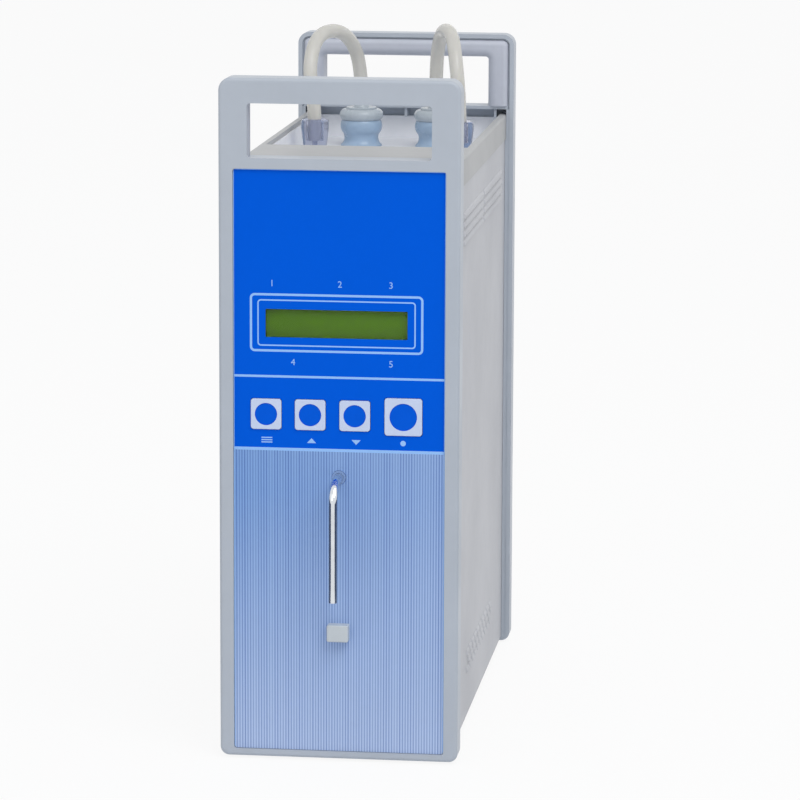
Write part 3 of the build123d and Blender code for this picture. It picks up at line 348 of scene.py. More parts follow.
def add_hairlines():
    """Thin scratches across the axes that the stretch scales up."""
    wires, given, result = effect_group(
        "hairlines",
        (("Place", VECTOR, None), ("Stretch", VECTOR, (1.0, 1.0, 1.0))),
        ("Scratch", "Height"),
    )
    drawn = wires.node(
        "ShaderNodeVectorMath", {0: given["Place"], 1: given["Stretch"]}, operation="MULTIPLY"
    )
    lines = wires.noise(drawn.outputs[0], 1.0, detail=4.0, roughness=0.7)
    wires.give(result["Scratch"], wires.between(lines, low=0.60, high=0.70))
    wires.give(result["Height"], lines)


def add_round_spot():
    """A printed round spot seen from the front."""
    wires, given, result = effect_group(
        "round spot",
        (("Place", VECTOR, None), ("Across", FLOAT, 0.0), ("Up", FLOAT, 0.0), ("Radius", FLOAT, 0.005)),
        ("Inside",),
    )
    x, _, z = wires.axes(given["Place"])
    wide = wires.calc("SUBTRACT", x, given["Across"])
    high = wires.calc("SUBTRACT", z, given["Up"])
    squares = wires.calc("MULTIPLY_ADD", wide, wide, wires.calc("MULTIPLY", high, high))
    inside = wires.calc("LESS_THAN", wires.calc("SQRT", squares), given["Radius"])
    wires.give(result["Inside"], inside)


def add_round_outline():
    """A printed outline with round corners, seen from the front."""
    wires, given, result = effect_group(
        "round outline",
        (
            ("Place", VECTOR, None),
            ("Across", FLOAT, 0.0),
            ("Up", FLOAT, 0.0),
            ("Half width", FLOAT, 0.03),
            ("Half height", FLOAT, 0.01),
            ("Corner", FLOAT, 0.002),
            ("Line", FLOAT, 0.001),
        ),
        ("Line", "Inside"),
    )
    x, _, z = wires.axes(given["Place"])
    sides = []
    for value, centre, half in ((x, "Across", "Half width"), (z, "Up", "Half height")):
        away = wires.calc("ABSOLUTE", wires.calc("SUBTRACT", value, given[centre]))
        flat = wires.calc("SUBTRACT", given[half], given["Corner"])
        sides.append(wires.calc("SUBTRACT", away, flat))
    wide, high = (wires.calc("MAXIMUM", side, 0.0) for side in sides)
    squares = wires.calc("MULTIPLY_ADD", wide, wide, wires.calc("MULTIPLY", high, high))
    within = wires.calc("MINIMUM", wires.calc("MAXIMUM", *sides), 0.0)
    depth = wires.calc("ADD", wires.calc("SQRT", squares), within)
    edge = wires.calc("SUBTRACT", depth, given["Corner"])
    half_line = wires.calc("MULTIPLY", given["Line"], 0.5)
    from_line = wires.calc("ABSOLUTE", wires.calc("ADD", edge, half_line))
    wires.give(result["Line"], wires.calc("LESS_THAN", from_line, half_line))
    wires.give(result["Inside"], wires.calc("LESS_THAN", edge, 0.0))


def finish(name, colour, grain, relief, rough, shade, marks, brushed=None, pattern=None, **sockets):
    """A material whose colour, gloss and relief change over the surface.

    grain is the size of its fine bumps and relief their height. rough is its roughness where it
    is clean and where it is dulled, shade the tone of the dulled patches and marks their size.
    brushed stretches hairlines over it, pattern wires its colour, and sockets are its shader's.
    """
    material = bpy.data.materials.new(name)
    material.use_nodes = True
    tree = material.node_tree
    shader = tree.nodes["Principled BSDF"]
    wires = Wiring(tree)
    place = wires.node("ShaderNodeTexCoord").outputs["Object"]
    worn = wires.effect("handling marks", Place=place, Size=marks)
    bumps = wires.effect("surface grain", Place=place, Size=grain)
    base = pattern(wires, place) if pattern else rgba(colour)
    tint = wires.between(bumps["Tone"], low=0.3, high=0.7, start=1.0, end=0.5 + 0.5 * shade)
    dulled = wires.mix(worn["Dull"], WHITE, rgba((shade, shade, shade)))
    toned = wires.mix(1.0, wires.mix(1.0, base, dulled, "MULTIPLY"), tint, "MULTIPLY")
    clean, dull = rough
    gloss = wires.between(worn["Dull"], 0.0, 1.0, start=clean, end=dull)
    height = bumps["Height"]
    if brushed:
        drawn = wires.effect("hairlines", Place=place, Stretch=brushed)
        height = wires.calc("MULTIPLY_ADD", drawn["Height"], 2.0, height)
        gloss = wires.calc("MULTIPLY_ADD", drawn["Scratch"], 0.08, gloss)
    else:
        gloss = wires.calc("MULTIPLY_ADD", worn["Specks"], 0.06, gloss)
    bump = wires.node("ShaderNodeBump", {"Height": height, "Distance": relief, "Strength": 1.0})
    wires.give(shader.inputs["Base Color"], toned)
    wires.give(shader.inputs["Roughness"], gloss)
    wires.give(shader.inputs["Normal"], bump.outputs[0])
    for key, value in sockets.items():
        shader.inputs[key.replace("_", " ")].default_value = value
    return material


def stripe_print(wires, place, x, z, look):
    """Fine upright stripes with uneven depth, tinted towards their upper left corner."""
    tones, pitch = look.colours, look.printing.stripe
    low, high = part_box("front_overlay")
    wave = wires.calc("PINGPONG", x, pitch / 2)
    stripe = wires.between(wave, low=0.15 * pitch, high=0.35 * pitch)
    streaked = wires.node("ShaderNodeMapping", {"Vector": place, "Scale": (420.0, 0.0, 1.5)})
    streaks = wires.noise(streaked.outputs[0], 1.0, detail=1.0)
    depth = wires.between(streaks, low=0.3, high=0.7, start=0.55, end=1.0)
    fine = wires.mix(wires.calc("MULTIPLY", stripe, depth), rgba(tones.ground), rgba(tones.stripe))
    rising = wires.between(z, low=0.0, high=0.12)
    leftward = wires.between(x, low.x, high.x, start=1.0, end=0.65)
    tint = wires.mix(wires.calc("MULTIPLY", rising, leftward), WHITE, rgba(tones.fade))
    return wires.mix(1.0, fine, tint, "MULTIPLY")


def display_outline(wires, place, outline, line):
    """One of the two outlines printed round the display."""
    display = middle("display_window")
    return wires.effect(
        "round outline",
        Place=place,
        Across=display.x,
        Up=display.z + outline["rise"],
        Half_width=outline["half_width"],
        Half_height=outline["half_height"],
        Corner=outline["corner"],
        Line=line,
    )["Line"]


def front_print(look):
    """The front film: strong colour above, fine stripes below, pale lines and two outlines."""
    sizes, tones = look.printing, look.colours
    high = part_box("front_overlay")[1]
    keys = middle("mode_key").z

    def pattern(wires, place):
        x, _, z = wires.axes(place)
        upper = wires.calc("GREATER_THAN", z, keys - LOWER_RULE_DROP)
        ground = wires.mix(upper, stripe_print(wires, place, x, z, look), rgba(tones.film))
        lines = [
            display_outline(wires, place, OUTER_OUTLINE, sizes.outer_line),
            display_outline(wires, place, INNER_OUTLINE, sizes.inner_line),
        ]
        rules = ((keys + UPPER_RULE_RISE, sizes.rule), (keys - LOWER_RULE_DROP, 1.3 * sizes.rule))
        for up, width in rules:
            away = wires.calc("ABSOLUTE", wires.calc("SUBTRACT", z, up))
            lines.append(wires.calc("LESS_THAN", away, width / 2))
        from_middle = wires.calc("ABSOLUTE", x)
        lines.append(wires.calc("GREATER_THAN", from_middle, high.x - FILM_BORDER))
        lines.append(wires.calc("GREATER_THAN", z, high.z - FILM_BORDER))
        inked = lines[0]
        for other in lines[1:]:
            inked = wires.calc("MAXIMUM", inked, other)
        return wires.mix(inked, ground, rgba(tones.line))

    return pattern


def key_print(look):
    """Pale square key tops with a round spot each."""

    def pattern(wires, place):
        spots = 0.0
        for name in KEYS:
            low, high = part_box(f"{name}_key")
            centre = middle(f"{name}_key")
            spot = wires.effect(
                "round spot",
                Place=place,
                Across=centre.x,
                Up=centre.z,
                Radius=look.printing.finger_spot * (high.x - low.x - 2 * KEY_EDGE) / 2,
            )
            spots = wires.calc("MAXIMUM", spot["Inside"], spots)
        return wires.mix(spots, rgba(look.colours.keys), rgba(look.colours.film))

    return pattern


def display_cells(look):
    """Two faint rows of sixteen empty character cells on the lit display."""
    centre = middle("display_window")

    def pattern(wires, place):
        x, _, z = wires.axes(place)
        across = wires.calc("PINGPONG", wires.calc("SUBTRACT", x, centre.x), CELL_PITCH / 2)
        up = wires.calc("PINGPONG", wires.calc("SUBTRACT", z, centre.z), CELL_ROW_PITCH / 2)
        inside = wires.calc(
            "MULTIPLY",
            wires.calc("LESS_THAN", across, CELL_WIDTH / 2),
            wires.calc("GREATER_THAN", up, CELL_ROW_GAP / 2),
        )
        lower = wires.between(z, centre.z + DISPLAY_BOTTOM, centre.z + DISPLAY_TOP, start=1.0, end=0.0)
        ground = wires.mix(lower, rgba(look.colours.display), rgba(paint(72, 108, 18)))
        return wires.mix(wires.calc("MULTIPLY", inside, 0.12), ground, rgba(paint(52, 86, 26)))

    return pattern


def board_tracks(wires, place):
    """Green lacquer with paler copper tracks and tinned pads."""
    pad_share, track_pitch, track_width, track_strength = 0.22, 0.0022, 0.0006, 0.55
    cells = wires.node(
        "ShaderNodeTexVoronoi", {"Vector": place, "Scale": 380.0}, distance="MANHATTAN", feature="F1"
    )
    pads = wires.calc("LESS_THAN", cells.outputs["Distance"], pad_share)
    x, y, z = wires.axes(place)
    slanted = wires.calc("ADD", wires.calc("ADD", x, y), z)
    along = wires.calc("PINGPONG", slanted, track_pitch / 2)
    tracks = wires.calc("MULTIPLY", wires.calc("LESS_THAN", along, track_width / 2), track_strength)
    lacquer = wires.mix(tracks, rgba(paint(18, 84, 48)), rgba(paint(66, 130, 74)))
    return wires.mix(pads, lacquer, rgba(paint(186, 188, 176)))


def tape_turns(wires, place):
    """Overlapping turns of yellow tape round the ring core."""
    x, y, _ = wires.axes(place)
    across, along = RING_MIDDLE
    angle = wires.calc("ARCTAN2", wires.calc("SUBTRACT", y, along), wires.calc("SUBTRACT", x, across))
    lap = wires.between(wires.calc("PINGPONG", angle, TAPE_LAP_RADIANS), 0.0, TAPE_LAP_RADIANS)
    return wires.mix(lap, rgba(paint(214, 178, 60)), rgba(paint(176, 132, 34)))


def rocker_marks(wires, place):
    """Black plastic, with a white bar and a white ring where the rocker is."""
    bar = wires.effect(
        "round outline",
        Place=place,
        Across=ROCKER_ACROSS,
        Up=ROCKER_BAR_HEIGHT,
        Half_width=0.0004,
        Half_height=0.0020,
        Corner=0.0002,
        Line=0.0001,
    )["Inside"]
    outside, hollow = (
        wires.effect(
            "round spot", Place=place, Across=ROCKER_ACROSS, Up=ROCKER_RING_HEIGHT, Radius=radius
        )["Inside"]
        for radius in (ROCKER_RING_OUTER, ROCKER_RING_INNER)
    )
    marks = wires.calc("MAXIMUM", bar, wires.calc("SUBTRACT", outside, hollow))
    return wires.mix(marks, rgba(paint(26, 27, 29)), rgba(paint(226, 227, 228)))


def clear_finish(name, colour, rough, **sockets):
    """Clear plastic that lets lamps shine through it."""
    material = finish(name, colour, 0.004, 0.000002, rough, 0.97, 0.03, **sockets)
    nodes = material.node_tree.nodes
    wires = Wiring(material.node_tree)
    passing = wires.node("ShaderNodeBsdfTransparent", {"Color": rgba(colour)})
    ray = wires.node("ShaderNodeLightPath").outputs["Is Shadow Ray"]
    both = wires.mix_shaders(ray, nodes["Principled BSDF"].outputs[0], passing.outputs[0])
    wires.give(nodes["Material Output"].inputs["Surface"], both)
    return material


def make_finishes(look):
    """One material for each of the record's slots."""
    tones = look.colours
    steel = paint(176, 178, 180)
    return {
        "frame_paint": finish(
            "frame paint", tones.frames, 0.0009, 0.000010, (0.34, 0.46), 0.95, 0.05
        ),
        "panel_paint": finish(
            "panel paint", tones.panels, 0.0006, 0.000014, (0.46, 0.58), 0.95, 0.07
        ),
        "cover_paint": finish(
            "cover paint", tones.cover, 0.0006, 0.000014, (0.42, 0.54), 0.95, 0.06
        ),
        "grip_plastic": finish(
            "grip plastic", paint(190, 195, 208), 0.0004, 0.000008, (0.40, 0.55), 0.94, 0.02
        ),
        "tray_plastic": finish(
            "tray plastic", tones.tray, 0.0005, 0.000008, (0.30, 0.45), 0.95, 0.03
        ),
        "front_film": finish(
            "front film", tones.film, 0.0003, 0.000002, (0.36, 0.44), 0.97, 0.06,
            pattern=front_print(look), Specular_IOR_Level=0.03,
        ),
        "key_plastic": finish(
            "key plastic", tones.keys, 0.0003, 0.000003, (0.34, 0.46), 0.95, 0.006,
            pattern=key_print(look), Specular_IOR_Level=0.05,
        ),
        "plate_metal": finish(
            "plate metal", paint(190, 192, 194), 0.0008, 0.000008, (0.3, 0.42), 0.9, 0.03,
            brushed=(40, 40, 3000), Metallic=0.9,
        ),
        "clear_window": clear_finish(
            "clear window", (0.96, 0.98, 0.96), (0.03, 0.08), Transmission_Weight=1.0, IOR=1.2
        ),
        "lcd_glass": finish(
            "display glass", tones.display, 0.002, 0.000001, (0.22, 0.3), 0.97, 0.02,
            pattern=display_cells(look), Specular_IOR_Level=0.1,
        ),
        "bent_steel": finish(
            "bent steel", paint(222, 226, 231), 0.0006, 0.000003, (0.08, 0.16), 0.92, 0.010,
            brushed=(2600, 2600, 60), Metallic=1.0,
        ),
        "fitting_plastic": finish(
            "fitting plastic", tones.fittings, 0.0007, 0.000006, (0.2, 0.34), 0.9, 0.012
        ),
        "cap_plastic": finish(
            "cap plastic", tones.caps, 0.0007, 0.000006, (0.22, 0.36), 0.92, 0.012
        ),
        "clear_hose": finish(
            "hose inside", tones.hose, 0.002, 0.000010, (0.2, 0.3), 0.93, 0.012
        ),
        "peg_plastic": finish(
            "peg plastic", tones.peg, 0.0005, 0.000006, (0.3, 0.44), 0.93, 0.008
        ),
        "rubber_black": finish(
            "black rubber", paint(38, 38, 40), 0.0005, 0.000030, (0.62, 0.8), 0.8, 0.010
        ),
        "chassis_steel": finish(
            "chassis steel", steel, 0.0008, 0.000008, (0.32, 0.46), 0.9, 0.03,
            brushed=(60, 60, 2400), Metallic=1.0,
        ),
        "fastener_steel": finish(
            "fastener steel", steel, 0.0004, 0.000006, (0.22, 0.36), 0.84, 0.004, Metallic=1.0
        ),
        "board_green": finish(
            "board lacquer", paint(18, 84, 48), 0.0006, 0.000012, (0.24, 0.36), 0.9, 0.02,
            pattern=board_tracks,
        ),
        "chip_black": finish(
            "chip black", paint(34, 34, 37), 0.0003, 0.000010, (0.44, 0.58), 0.8, 0.008
        ),
        "white_plastic": finish(
            "white plastic", paint(226, 226, 222), 0.0005, 0.000008, (0.32, 0.46), 0.92, 0.012
        ),
        "black_plastic": finish(
            "black plastic", paint(26, 27, 29), 0.0004, 0.000012, (0.34, 0.5), 0.85, 0.010,
            pattern=rocker_marks,
        ),
        "winding_tape": finish(
            "winding tape", paint(200, 160, 50), 0.0009, 0.00004, (0.3, 0.45), 0.85, 0.02,
            pattern=tape_turns,
        ),
        "cell_metal": finish(
            "cell metal", paint(186, 188, 190), 0.0006, 0.000010, (0.3, 0.44), 0.88, 0.01,
            brushed=(1500, 40, 40), Metallic=1.0,
        ),
        "heater_rubber": finish(
            "heater rubber", paint(196, 92, 44), 0.0007, 0.00002, (0.5, 0.66), 0.86, 0.01
        ),
        "motor_steel": finish(
            "motor steel", paint(168, 168, 166), 0.0008, 0.000010, (0.3, 0.45), 0.84, 0.012,
            brushed=(60, 2400, 60), Metallic=1.0,
        ),
        "brass_nut": finish(
            "brass", paint(190, 152, 84), 0.0005, 0.000008, (0.24, 0.38), 0.84, 0.006, Metallic=1.0
        ),
    }


def socket_finish(look):
    """Bluish clear plastic of the two hose sockets."""
    return clear_finish(
        "clear socket", look.colours.sockets, (0.12, 0.22), Transmission_Weight=0.9, IOR=1.2
    )


def bush_finish():
    """Blue plastic of the bush that the pipe comes through."""
    return finish("bush plastic", paint(128, 158, 208), 0.0005, 0.000006, (0.4, 0.5), 0.9, 0.01)


def hose_finish(look):
    """Milky hose that lets a little light in."""
    return finish(
        "milky hose", look.colours.hose, 0.003, 0.00002, (0.18, 0.28), 0.93, 0.02,
        Transmission_Weight=0.25, IOR=1.43, Subsurface_Weight=0.3,
        Subsurface_Radius=(0.6, 0.6, 0.5), Subsurface_Scale=0.003,
    )


def shown(name, data):
    """An object of the scene with this mesh, curve, lamp or camera."""
    made = bpy.data.objects.new(name, data)
    bpy.context.scene.collection.objects.link(made)
    return made


def meshed(name, shape):
    """The mesh of a finished bmesh, which is freed."""
    mesh = bpy.data.meshes.new(name)
    shape.to_mesh(mesh)
    shape.free()
    return mesh


def piece(mesh, material):
    """A finished mesh as a piece that rides on the housing."""
    made = shown(mesh.name, mesh)
    mesh.materials.append(material)
    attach(made, "housing")


def closed_ring(shape, spots):
    """A closed ring of edges through these spots."""
    corners = [shape.verts.new(spot) for spot in spots]
    return [shape.edges.new(pair) for pair in zip(corners, corners[1:] + corners[:1])]


def turned(name, outline, centre):
    """A mesh turned about an upright line through centre from (radius, height) points."""
    shape = bmesh.new()
    closed_ring(shape, [(centre[0] + radius, centre[1], height) for radius, height in outline])
    bmesh.ops.spin(
        shape,
        geom=shape.verts[:] + shape.edges[:],
        cent=(*centre, 0.0),
        axis=(0, 0, 1),
        angle=2 * math.pi,
        steps=48,
        use_merge=True,
    )
    bmesh.ops.remove_doubles(shape, verts=shape.verts, dist=1e-7)
    bmesh.ops.recalc_face_normals(shape, faces=shape.faces)
    mesh = meshed(name, shape)
    mesh.shade_smooth()
    return mesh


def upright(across, front, up):
    """Stands a flat mark up at a place on the front, facing forward."""
    return Matrix.Translation((across, front, up)) @ Matrix.Rotation(math.pi / 2, 4, "X")


def printed_mesh(name, marks, thickness, front):
    """Flat marks, each a bmesh maker and a place across and up, raised a little off the film."""
    shape = bmesh.new()
    for make, across, up in marks:
        before = set(shape.verts)
        make(shape)
        fresh = [vert for vert in shape.verts if vert not in before]
        bmesh.ops.transform(shape, matrix=upright(across, front, up), verts=fresh)
    raised = bmesh.ops.extrude_face_region(shape, geom=shape.faces[:])["geom"]
    tops = [part for part in raised if isinstance(part, bmesh.types.BMVert)]
    bmesh.ops.translate(shape, vec=(0, -thickness, 0), verts=tops)
    bmesh.ops.recalc_face_normals(shape, faces=shape.faces)
    return meshed(name, shape)


def arrow(width, turn):
    """A maker of a flat triangle, pointing up before its turn."""

    def make(shape):
        tip = Matrix.Rotation(turn, 4, "Z") @ Matrix.Diagonal((width / 1.732, width / 2.8, 1, 1))
        bmesh.ops.create_circle(shape, cap_ends=True, segments=3, radius=1.0, matrix=tip)

    return make


def dot(radius):
    """A maker of a flat round dot."""

    def make(shape):
        bmesh.ops.create_circle(shape, cap_ends=True, segments=32, radius=radius)

    return make


def bar(width, height, up):
    """A maker of a flat bar."""

    def make(shape):
        place = Matrix.Translation((0, up, 0)) @ Matrix.Diagonal((width, height, 1, 1))
        bmesh.ops.create_grid(shape, x_segments=1, y_segments=1, size=0.5, matrix=place)

    return make


def drawn_along(shape, ring, distance, reach, base):
    """Draws a ring along its panel and scales its reach from the base. Returns the new ring."""
    grown = bmesh.ops.extrude_edge_only(shape, edges=ring)["geom"]
    corners = [part for part in grown if isinstance(part, bmesh.types.BMVert)]
    bmesh.ops.translate(shape, vec=(0, distance, 0), verts=corners)
    bmesh.ops.scale(
        shape, vec=(reach, 1, 1), verts=corners, space=Matrix.Translation((-base, 0, 0))
    )
    return [part for part in grown if isinstance(part, bmesh.types.BMEdge)]


def hood(face, side, slot, sizes):
    """One pressed hood over a slot: a bent sheet with closed ends, open downward."""
    shape = bmesh.new()
    along, up, reach = slot
    half = reach / 2 + sizes.overlap - 2 * HOOD_END_STEP
    base = face + side * HOOD_GAP
    bend = (
        (0.0, sizes.rise),
        (0.45, 0.72 * sizes.rise),
        (0.85, 0.25 * sizes.rise),
        (1.0, -0.4 * sizes.drop),
        (1.0, -sizes.drop),
        (1.0 - sizes.sheet / sizes.reach, -sizes.drop),
        (0.55, 0.05 * sizes.rise),
        (0.0, 0.62 * sizes.rise),
    )
    near = closed_ring(
        shape, [(base + side * out * sizes.reach, along - half, up + height) for out, height in bend]
    )
    far = drawn_along(shape, near, 2 * half, 1.0, base)
    for ring, way in ((near, -1), (far, 1)):
        for reach_share in (0.9, 0.0):
            ring = drawn_along(shape, ring, way * HOOD_END_STEP, reach_share, base)
        bmesh.ops.edgeloop_fill(shape, edges=ring)
    bmesh.ops.recalc_face_normals(shape, faces=shape.faces)
    if shape.calc_volume(signed=True) < 0:
        bmesh.ops.reverse_faces(shape, faces=shape.faces)
    return meshed("hood", shape)


class ANALYZER_OT_camera(bpy.types.Operator):
    """Stands the camera where it looks at the front and right side, a little from above"""

    bl_idname = "analyzer.camera"
    bl_label = "Place the camera"

    def execute(self, context):
        yaw, pitch, roll = (math.radians(CAMERA_DEGREES[turn]) for turn in ("yaw", "pitch", "roll"))
        flat = math.cos(pitch)
        ahead = Vector((-math.sin(yaw) * flat, math.cos(yaw) * flat, -math.sin(pitch)))
        level = Vector((math.cos(yaw), math.sin(yaw), 0))
        above = level.cross(ahead)
        right = level * math.cos(roll) + above * math.sin(roll)
        up = above * math.cos(roll) - level * math.sin(roll)
        data = bpy.data.cameras.new("camera")
        data.lens = context.scene.analyzer_look.studio.lens
        data.sensor_width = CAMERA_SENSOR_MM
        data.clip_end = 60.0
        camera = shown("camera", data)
        turn = Matrix((right, up, -ahead)).transposed().to_4x4()
        camera.matrix_world = Matrix.Translation(CAMERA_PLACE) @ turn
        context.scene.camera = camera
        return {"FINISHED"}


class ANALYZER_OT_hoses(bpy.types.Operator):
    """Runs the two clear hoses from their sockets to the ports"""

    bl_idname = "analyzer.hoses"
    bl_label = "Run the hoses"

    def execute(self, context):
        look = context.scene.analyzer_look
        material = hose_finish(look)
        for side, route in HOSE_ROUTES.items():
            line = bpy.data.curves.new(f"{side}_hose", "CURVE")
            line.dimensions = "3D"
            run = line.splines.new("NURBS")
            run.points.add(len(route) - 1)
            for point, spot in zip(run.points, route):
                point.co = (*spot, 1.0)
            run.order_u = 3
            run.use_endpoint_u = True
            run.resolution_u = 16
            line.bevel_depth = look.hoses.diameter / 2
            line.bevel_resolution = 8
            line.use_fill_caps = True
            line.materials.append(material)
            hose = shown(f"{side}_hose", line)
            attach(hose, "housing")
            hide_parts(f"{side}_hose_loop")
        return {"FINISHED"}


class ANALYZER_OT_hose_ends(bpy.types.Operator):
    """Swells each hose end where it is pushed over the port's barb"""

    bl_idname = "analyzer.hose_ends"
    bl_label = "Swell the hose ends"

    def execute(self, context):
        look = context.scene.analyzer_look
        material = finish(
            "stretched hose", darker(look.colours.hose, 0.72), 0.002, 0.00001, (0.2, 0.3), 0.93, 0.01,
            Transmission_Weight=0.15, IOR=1.43,
        )
        swell, reach = look.hoses.swell, look.hoses.swell_length
        outer = look.hoses.diameter / 2
        inner = outer - 0.0002
        for side, route in HOSE_ROUTES.items():
            x, y, low = route[-1]
            outline = (
                (inner, low),
                (outer + 0.7 * swell, low),
                (outer + 0.8 * swell, low + HOSE_LIP),
                (outer + swell, low + 0.3 * reach),
                (outer + 0.9 * swell, low + 0.55 * reach),
                (outer + 0.35 * swell, low + 0.8 * reach),
                (outer, low + reach),
                (inner, low + reach - HOSE_END_TAPER),
            )
            piece(turned(f"{side}_hose_end", outline, (x, y)), material)
        return {"FINISHED"}


class ANALYZER_OT_louvers(bpy.types.Operator):
    """Presses a hood over every slot of both side panels"""

    bl_idname = "analyzer.louvers"
    bl_label = "Press the louver hoods"

    def execute(self, context):
        look = context.scene.analyzer_look
        material = finish(
            "louver paint", look.colours.panels, 0.0006, 0.000014, (0.46, 0.58), 0.95, 0.07
        )
        for name, side in (("left", -1), ("right", 1)):
            low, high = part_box(f"{name}_side_panel")
            shape = bmesh.new()
            for slot in LONG_SLOTS + SHORT_SLOTS:
                single = hood(high.x if side > 0 else low.x, side, slot, look.louvers)
                shape.from_mesh(single)
                bpy.data.meshes.remove(single)
            piece(meshed(f"{name}_louver_hoods", shape), material)
        return {"FINISHED"}


class ANALYZER_OT_marks(bpy.types.Operator):
    """Prints the plain numbers, arrows, bars and dot on the front film"""

    bl_idname = "analyzer.marks"
    bl_label = "Print the front marks"

    def execute(self, context):
        look = context.scene.analyzer_look
        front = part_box("front_overlay")[0].y
        ink = finish("pale ink", look.colours.line, 0.0004, 0.000002, (0.4, 0.5), 0.95, 0.01)
        piece(self.key_marks(look.printing, front), ink)
        piece(self.numbers(context, look.printing, front), ink)
        return {"FINISHED"}

    def key_marks(self, sizes, front):
        mode, up, down, ok = (middle(f"{name}_key") for name in KEYS)
        marks = [
            (bar(0.0048, 0.0005, rise), mode.x + 0.0003, mode.z - 0.0114)
            for rise in (-0.0010, 0.0, 0.0010)
        ]
        marks += [
            (arrow(sizes.arrow, 0.0), up.x + 0.0006, up.z - 0.0117),
            (arrow(sizes.arrow, math.pi), down.x + 0.0006, down.z - 0.0113),
            (dot(0.0012), ok.x - 0.0001, ok.z - 0.0116),
        ]
        return printed_mesh("key_marks", marks, sizes.ink, front)

    def numbers(self, context, sizes, front):
        shape = bmesh.new()
        display = middle("display_window")
        for number, (beside, above) in enumerate(NUMBER_SPOTS, 1):
            words = bpy.data.curves.new(f"number_{number}", "FONT")
            words.body = str(number)
            words.size = sizes.number / CAPITAL_SHARE
            words.extrude = sizes.ink / 2
            words.align_x = "CENTER"
            words.align_y = "CENTER"
            holder = shown(words.name, words)
            solid = holder.evaluated_get(context.evaluated_depsgraph_get())
            flat = bpy.data.meshes.new_from_object(solid)
            flat.transform(upright(display.x + beside, front - sizes.ink / 2, display.z + above))
            shape.from_mesh(flat)
            bpy.data.objects.remove(holder)
        return meshed("display_numbers", shape)


class ANALYZER_OT_finishes(bpy.types.Operator):
    """Gives every solid the finish of its material slot, or its own"""

    bl_idname = "analyzer.finishes"
    bl_label = "Finish the solids"

    def execute(self, context):
        look = context.scene.analyzer_look
        finishes = make_finishes(look)
        clear = socket_finish(look)
        own = {"left_hose_socket": clear, "right_hose_socket": clear, "pipe_bush": bush_finish()}
        for row in frame["record"]["subparts"]:
            node = frame["nodes"][row["node"]]
            chosen = own.get(row["node"], finishes[row["material_slot"]])
            if not node.material_slots:
                node.data.materials.append(None)
            for place in node.material_slots:
                place.material = chosen
        return {"FINISHED"}


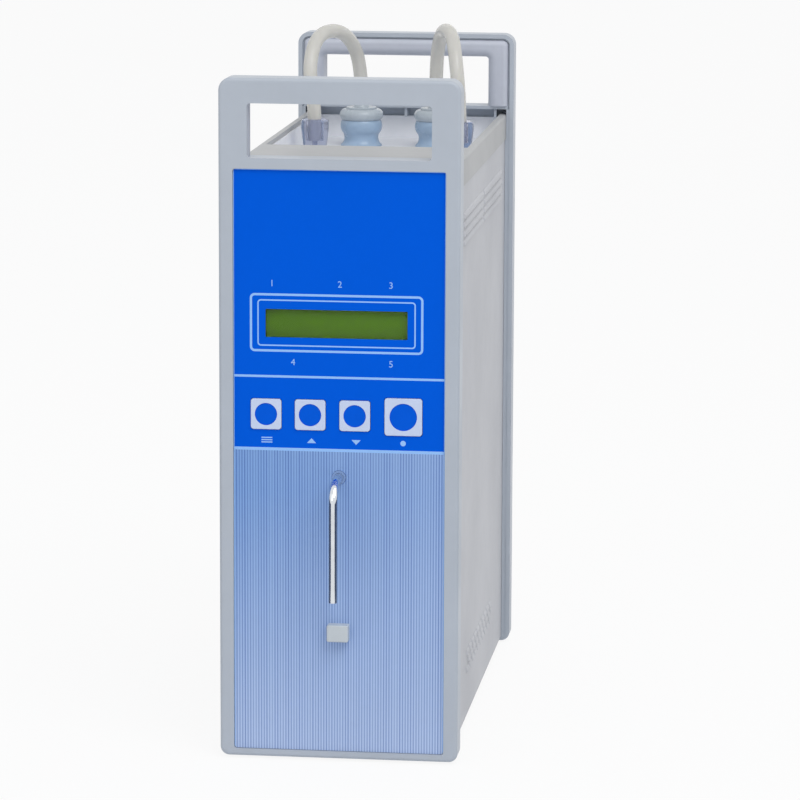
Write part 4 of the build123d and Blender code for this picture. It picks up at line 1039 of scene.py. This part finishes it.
class ANALYZER_OT_stage(bpy.types.Operator):
    """Builds the plain floor, two dark cards, the soft lamps and the white room"""

    bl_idname = "analyzer.stage"
    bl_label = "Build the studio"

    def execute(self, context):
        studio = context.scene.analyzer_look.studio
        self.floor(studio)
        for name, side in (("card_left", -1), ("card_right", 1)):
            self.card(name, side)
        self.lamp("upper lamp", studio.key, place=(0.9, -1.4, 2.3), size=1.6)
        self.lamp("left lamp", studio.fill, place=(-1.1, -2.4, 1.9), size=1.4)
        self.room(context, studio)
        context.scene.view_settings.view_transform = "Standard"
        return {"FINISHED"}

    def lamp(self, name, watts, place, size):
        data = bpy.data.lights.new(name, "AREA")
        data.energy = watts
        data.shape = "SQUARE"
        data.size = size
        lamp = shown(name, data)
        lamp.location = place
        aim = Vector(LAMP_TARGET) - Vector(place)
        lamp.rotation_euler = aim.to_track_quat("-Z", "Y").to_euler()

    def seen_rays(self, wires):
        """One for rays that see the background: camera, glossy and transmission rays."""
        rays = wires.node("ShaderNodeLightPath").outputs
        both = wires.calc("MAXIMUM", rays["Is Camera Ray"], rays["Is Glossy Ray"])
        return wires.calc("MAXIMUM", both, rays["Is Transmission Ray"])

    def room(self, context, studio):
        """Even light from all round, seen as white."""
        room = bpy.data.worlds.new("studio room")
        context.scene.world = room
        room.use_nodes = True
        wires = Wiring(room.node_tree)
        strength = wires.between(self.seen_rays(wires), 0.0, 1.0, start=studio.sky, end=1.0)
        background = room.node_tree.nodes["Background"].inputs
        wires.give(background["Strength"], strength)
        wires.give(background["Color"], WHITE)

    def card(self, name, side):
        """A dark card beside the object, seen only in bright metal, which it gives dark edges."""
        shape = bmesh.new()
        bmesh.ops.create_grid(shape, x_segments=1, y_segments=1, size=0.5)
        across, along, up = CARD_MIDDLE
        stand = Matrix.Translation((side * across, along, up)) @ Matrix.Rotation(math.pi / 2, 4, "Y")
        size = Matrix.Diagonal((CARD_HEIGHT, CARD_DEPTH, 1, 1))
        bmesh.ops.transform(shape, matrix=stand @ size, verts=shape.verts)
        mesh = meshed(name, shape)
        mesh.materials.append(
            finish(f"{name} paint", paint(74, 90, 122), 0.004, 0.00002, (0.8, 0.9), 0.95, 0.03)
        )
        card = shown(name, mesh)
        for ray in ("camera", "diffuse", "transmission", "volume_scatter", "shadow"):
            setattr(card, f"visible_{ray}", False)

    def floor(self, studio):
        """A pale floor that is seen nearly white, keeps shadows and can't be seen from below."""
        shape = bmesh.new()
        bmesh.ops.create_grid(shape, x_segments=4, y_segments=4, size=FLOOR_HALF)
        bmesh.ops.translate(shape, vec=(0, 0, -FLOOR_DROP), verts=shape.verts)
        mesh = meshed("floor", shape)
        material = finish("floor paper", studio.floor, 0.004, 0.00002, (0.8, 0.9), 0.99, 0.6)
        mesh.materials.append(material)
        nodes = material.node_tree.nodes
        wires = Wiring(material.node_tree)
        white = wires.node("ShaderNodeEmission", {"Color": WHITE, "Strength": 1.0}).outputs[0]
        share = wires.calc("MULTIPLY", self.seen_rays(wires), FLOOR_WHITE_SHARE)
        lit = wires.mix_shaders(share, nodes["Principled BSDF"].outputs[0], white)
        below = wires.node("ShaderNodeNewGeometry").outputs["Backfacing"]
        unseen = wires.node("ShaderNodeBsdfTransparent").outputs[0]
        both = wires.mix_shaders(below, lit, unseen)
        wires.give(nodes["Material Output"].inputs["Surface"], both)
        shown("floor", mesh)


class ANALYZER_PT_panel(bpy.types.Panel):
    """Lists the analyzer's making steps and its settings"""

    bl_idname = "ANALYZER_PT_panel"
    bl_label = "Milk analyzer"
    bl_space_type = "VIEW_3D"
    bl_region_type = "UI"
    bl_category = "Analyzer"

    def draw(self, context):
        for step in STEPS:
            self.layout.operator(step.bl_idname)
        look = context.scene.analyzer_look
        for group in (look.hoses, look.printing, look.louvers, look.colours, look.studio):
            box = self.layout.box()
            for name in group.bl_rna.properties.keys():
                if name not in ("name", "rna_type"):
                    box.prop(group, name)


EFFECTS = (add_surface_grain, add_handling_marks, add_hairlines, add_round_spot, add_round_outline)
STEPS = (
    ANALYZER_OT_camera,
    ANALYZER_OT_hoses,
    ANALYZER_OT_hose_ends,
    ANALYZER_OT_louvers,
    ANALYZER_OT_finishes,
    ANALYZER_OT_marks,
    ANALYZER_OT_stage,
)
GROUPS = (HoseSizes, PrintSizes, LouverSizes, Colours, Studio, AnalyzerLook)


def register():
    for kind in (*GROUPS, *STEPS, ANALYZER_PT_panel):
        bpy.utils.register_class(kind)
    bpy.types.Scene.analyzer_look = bpy.props.PointerProperty(type=AnalyzerLook)


def unregister():
    del bpy.types.Scene.analyzer_look
    for kind in (ANALYZER_PT_panel, *reversed(STEPS), *reversed(GROUPS)):
        bpy.utils.unregister_class(kind)


def main():
    register()
    for add_effect in EFFECTS:
        add_effect()
    for step in STEPS:
        group, name = step.bl_idname.split(".")
        getattr(getattr(bpy.ops, group), name)()


if __name__ == "__main__":
    main()
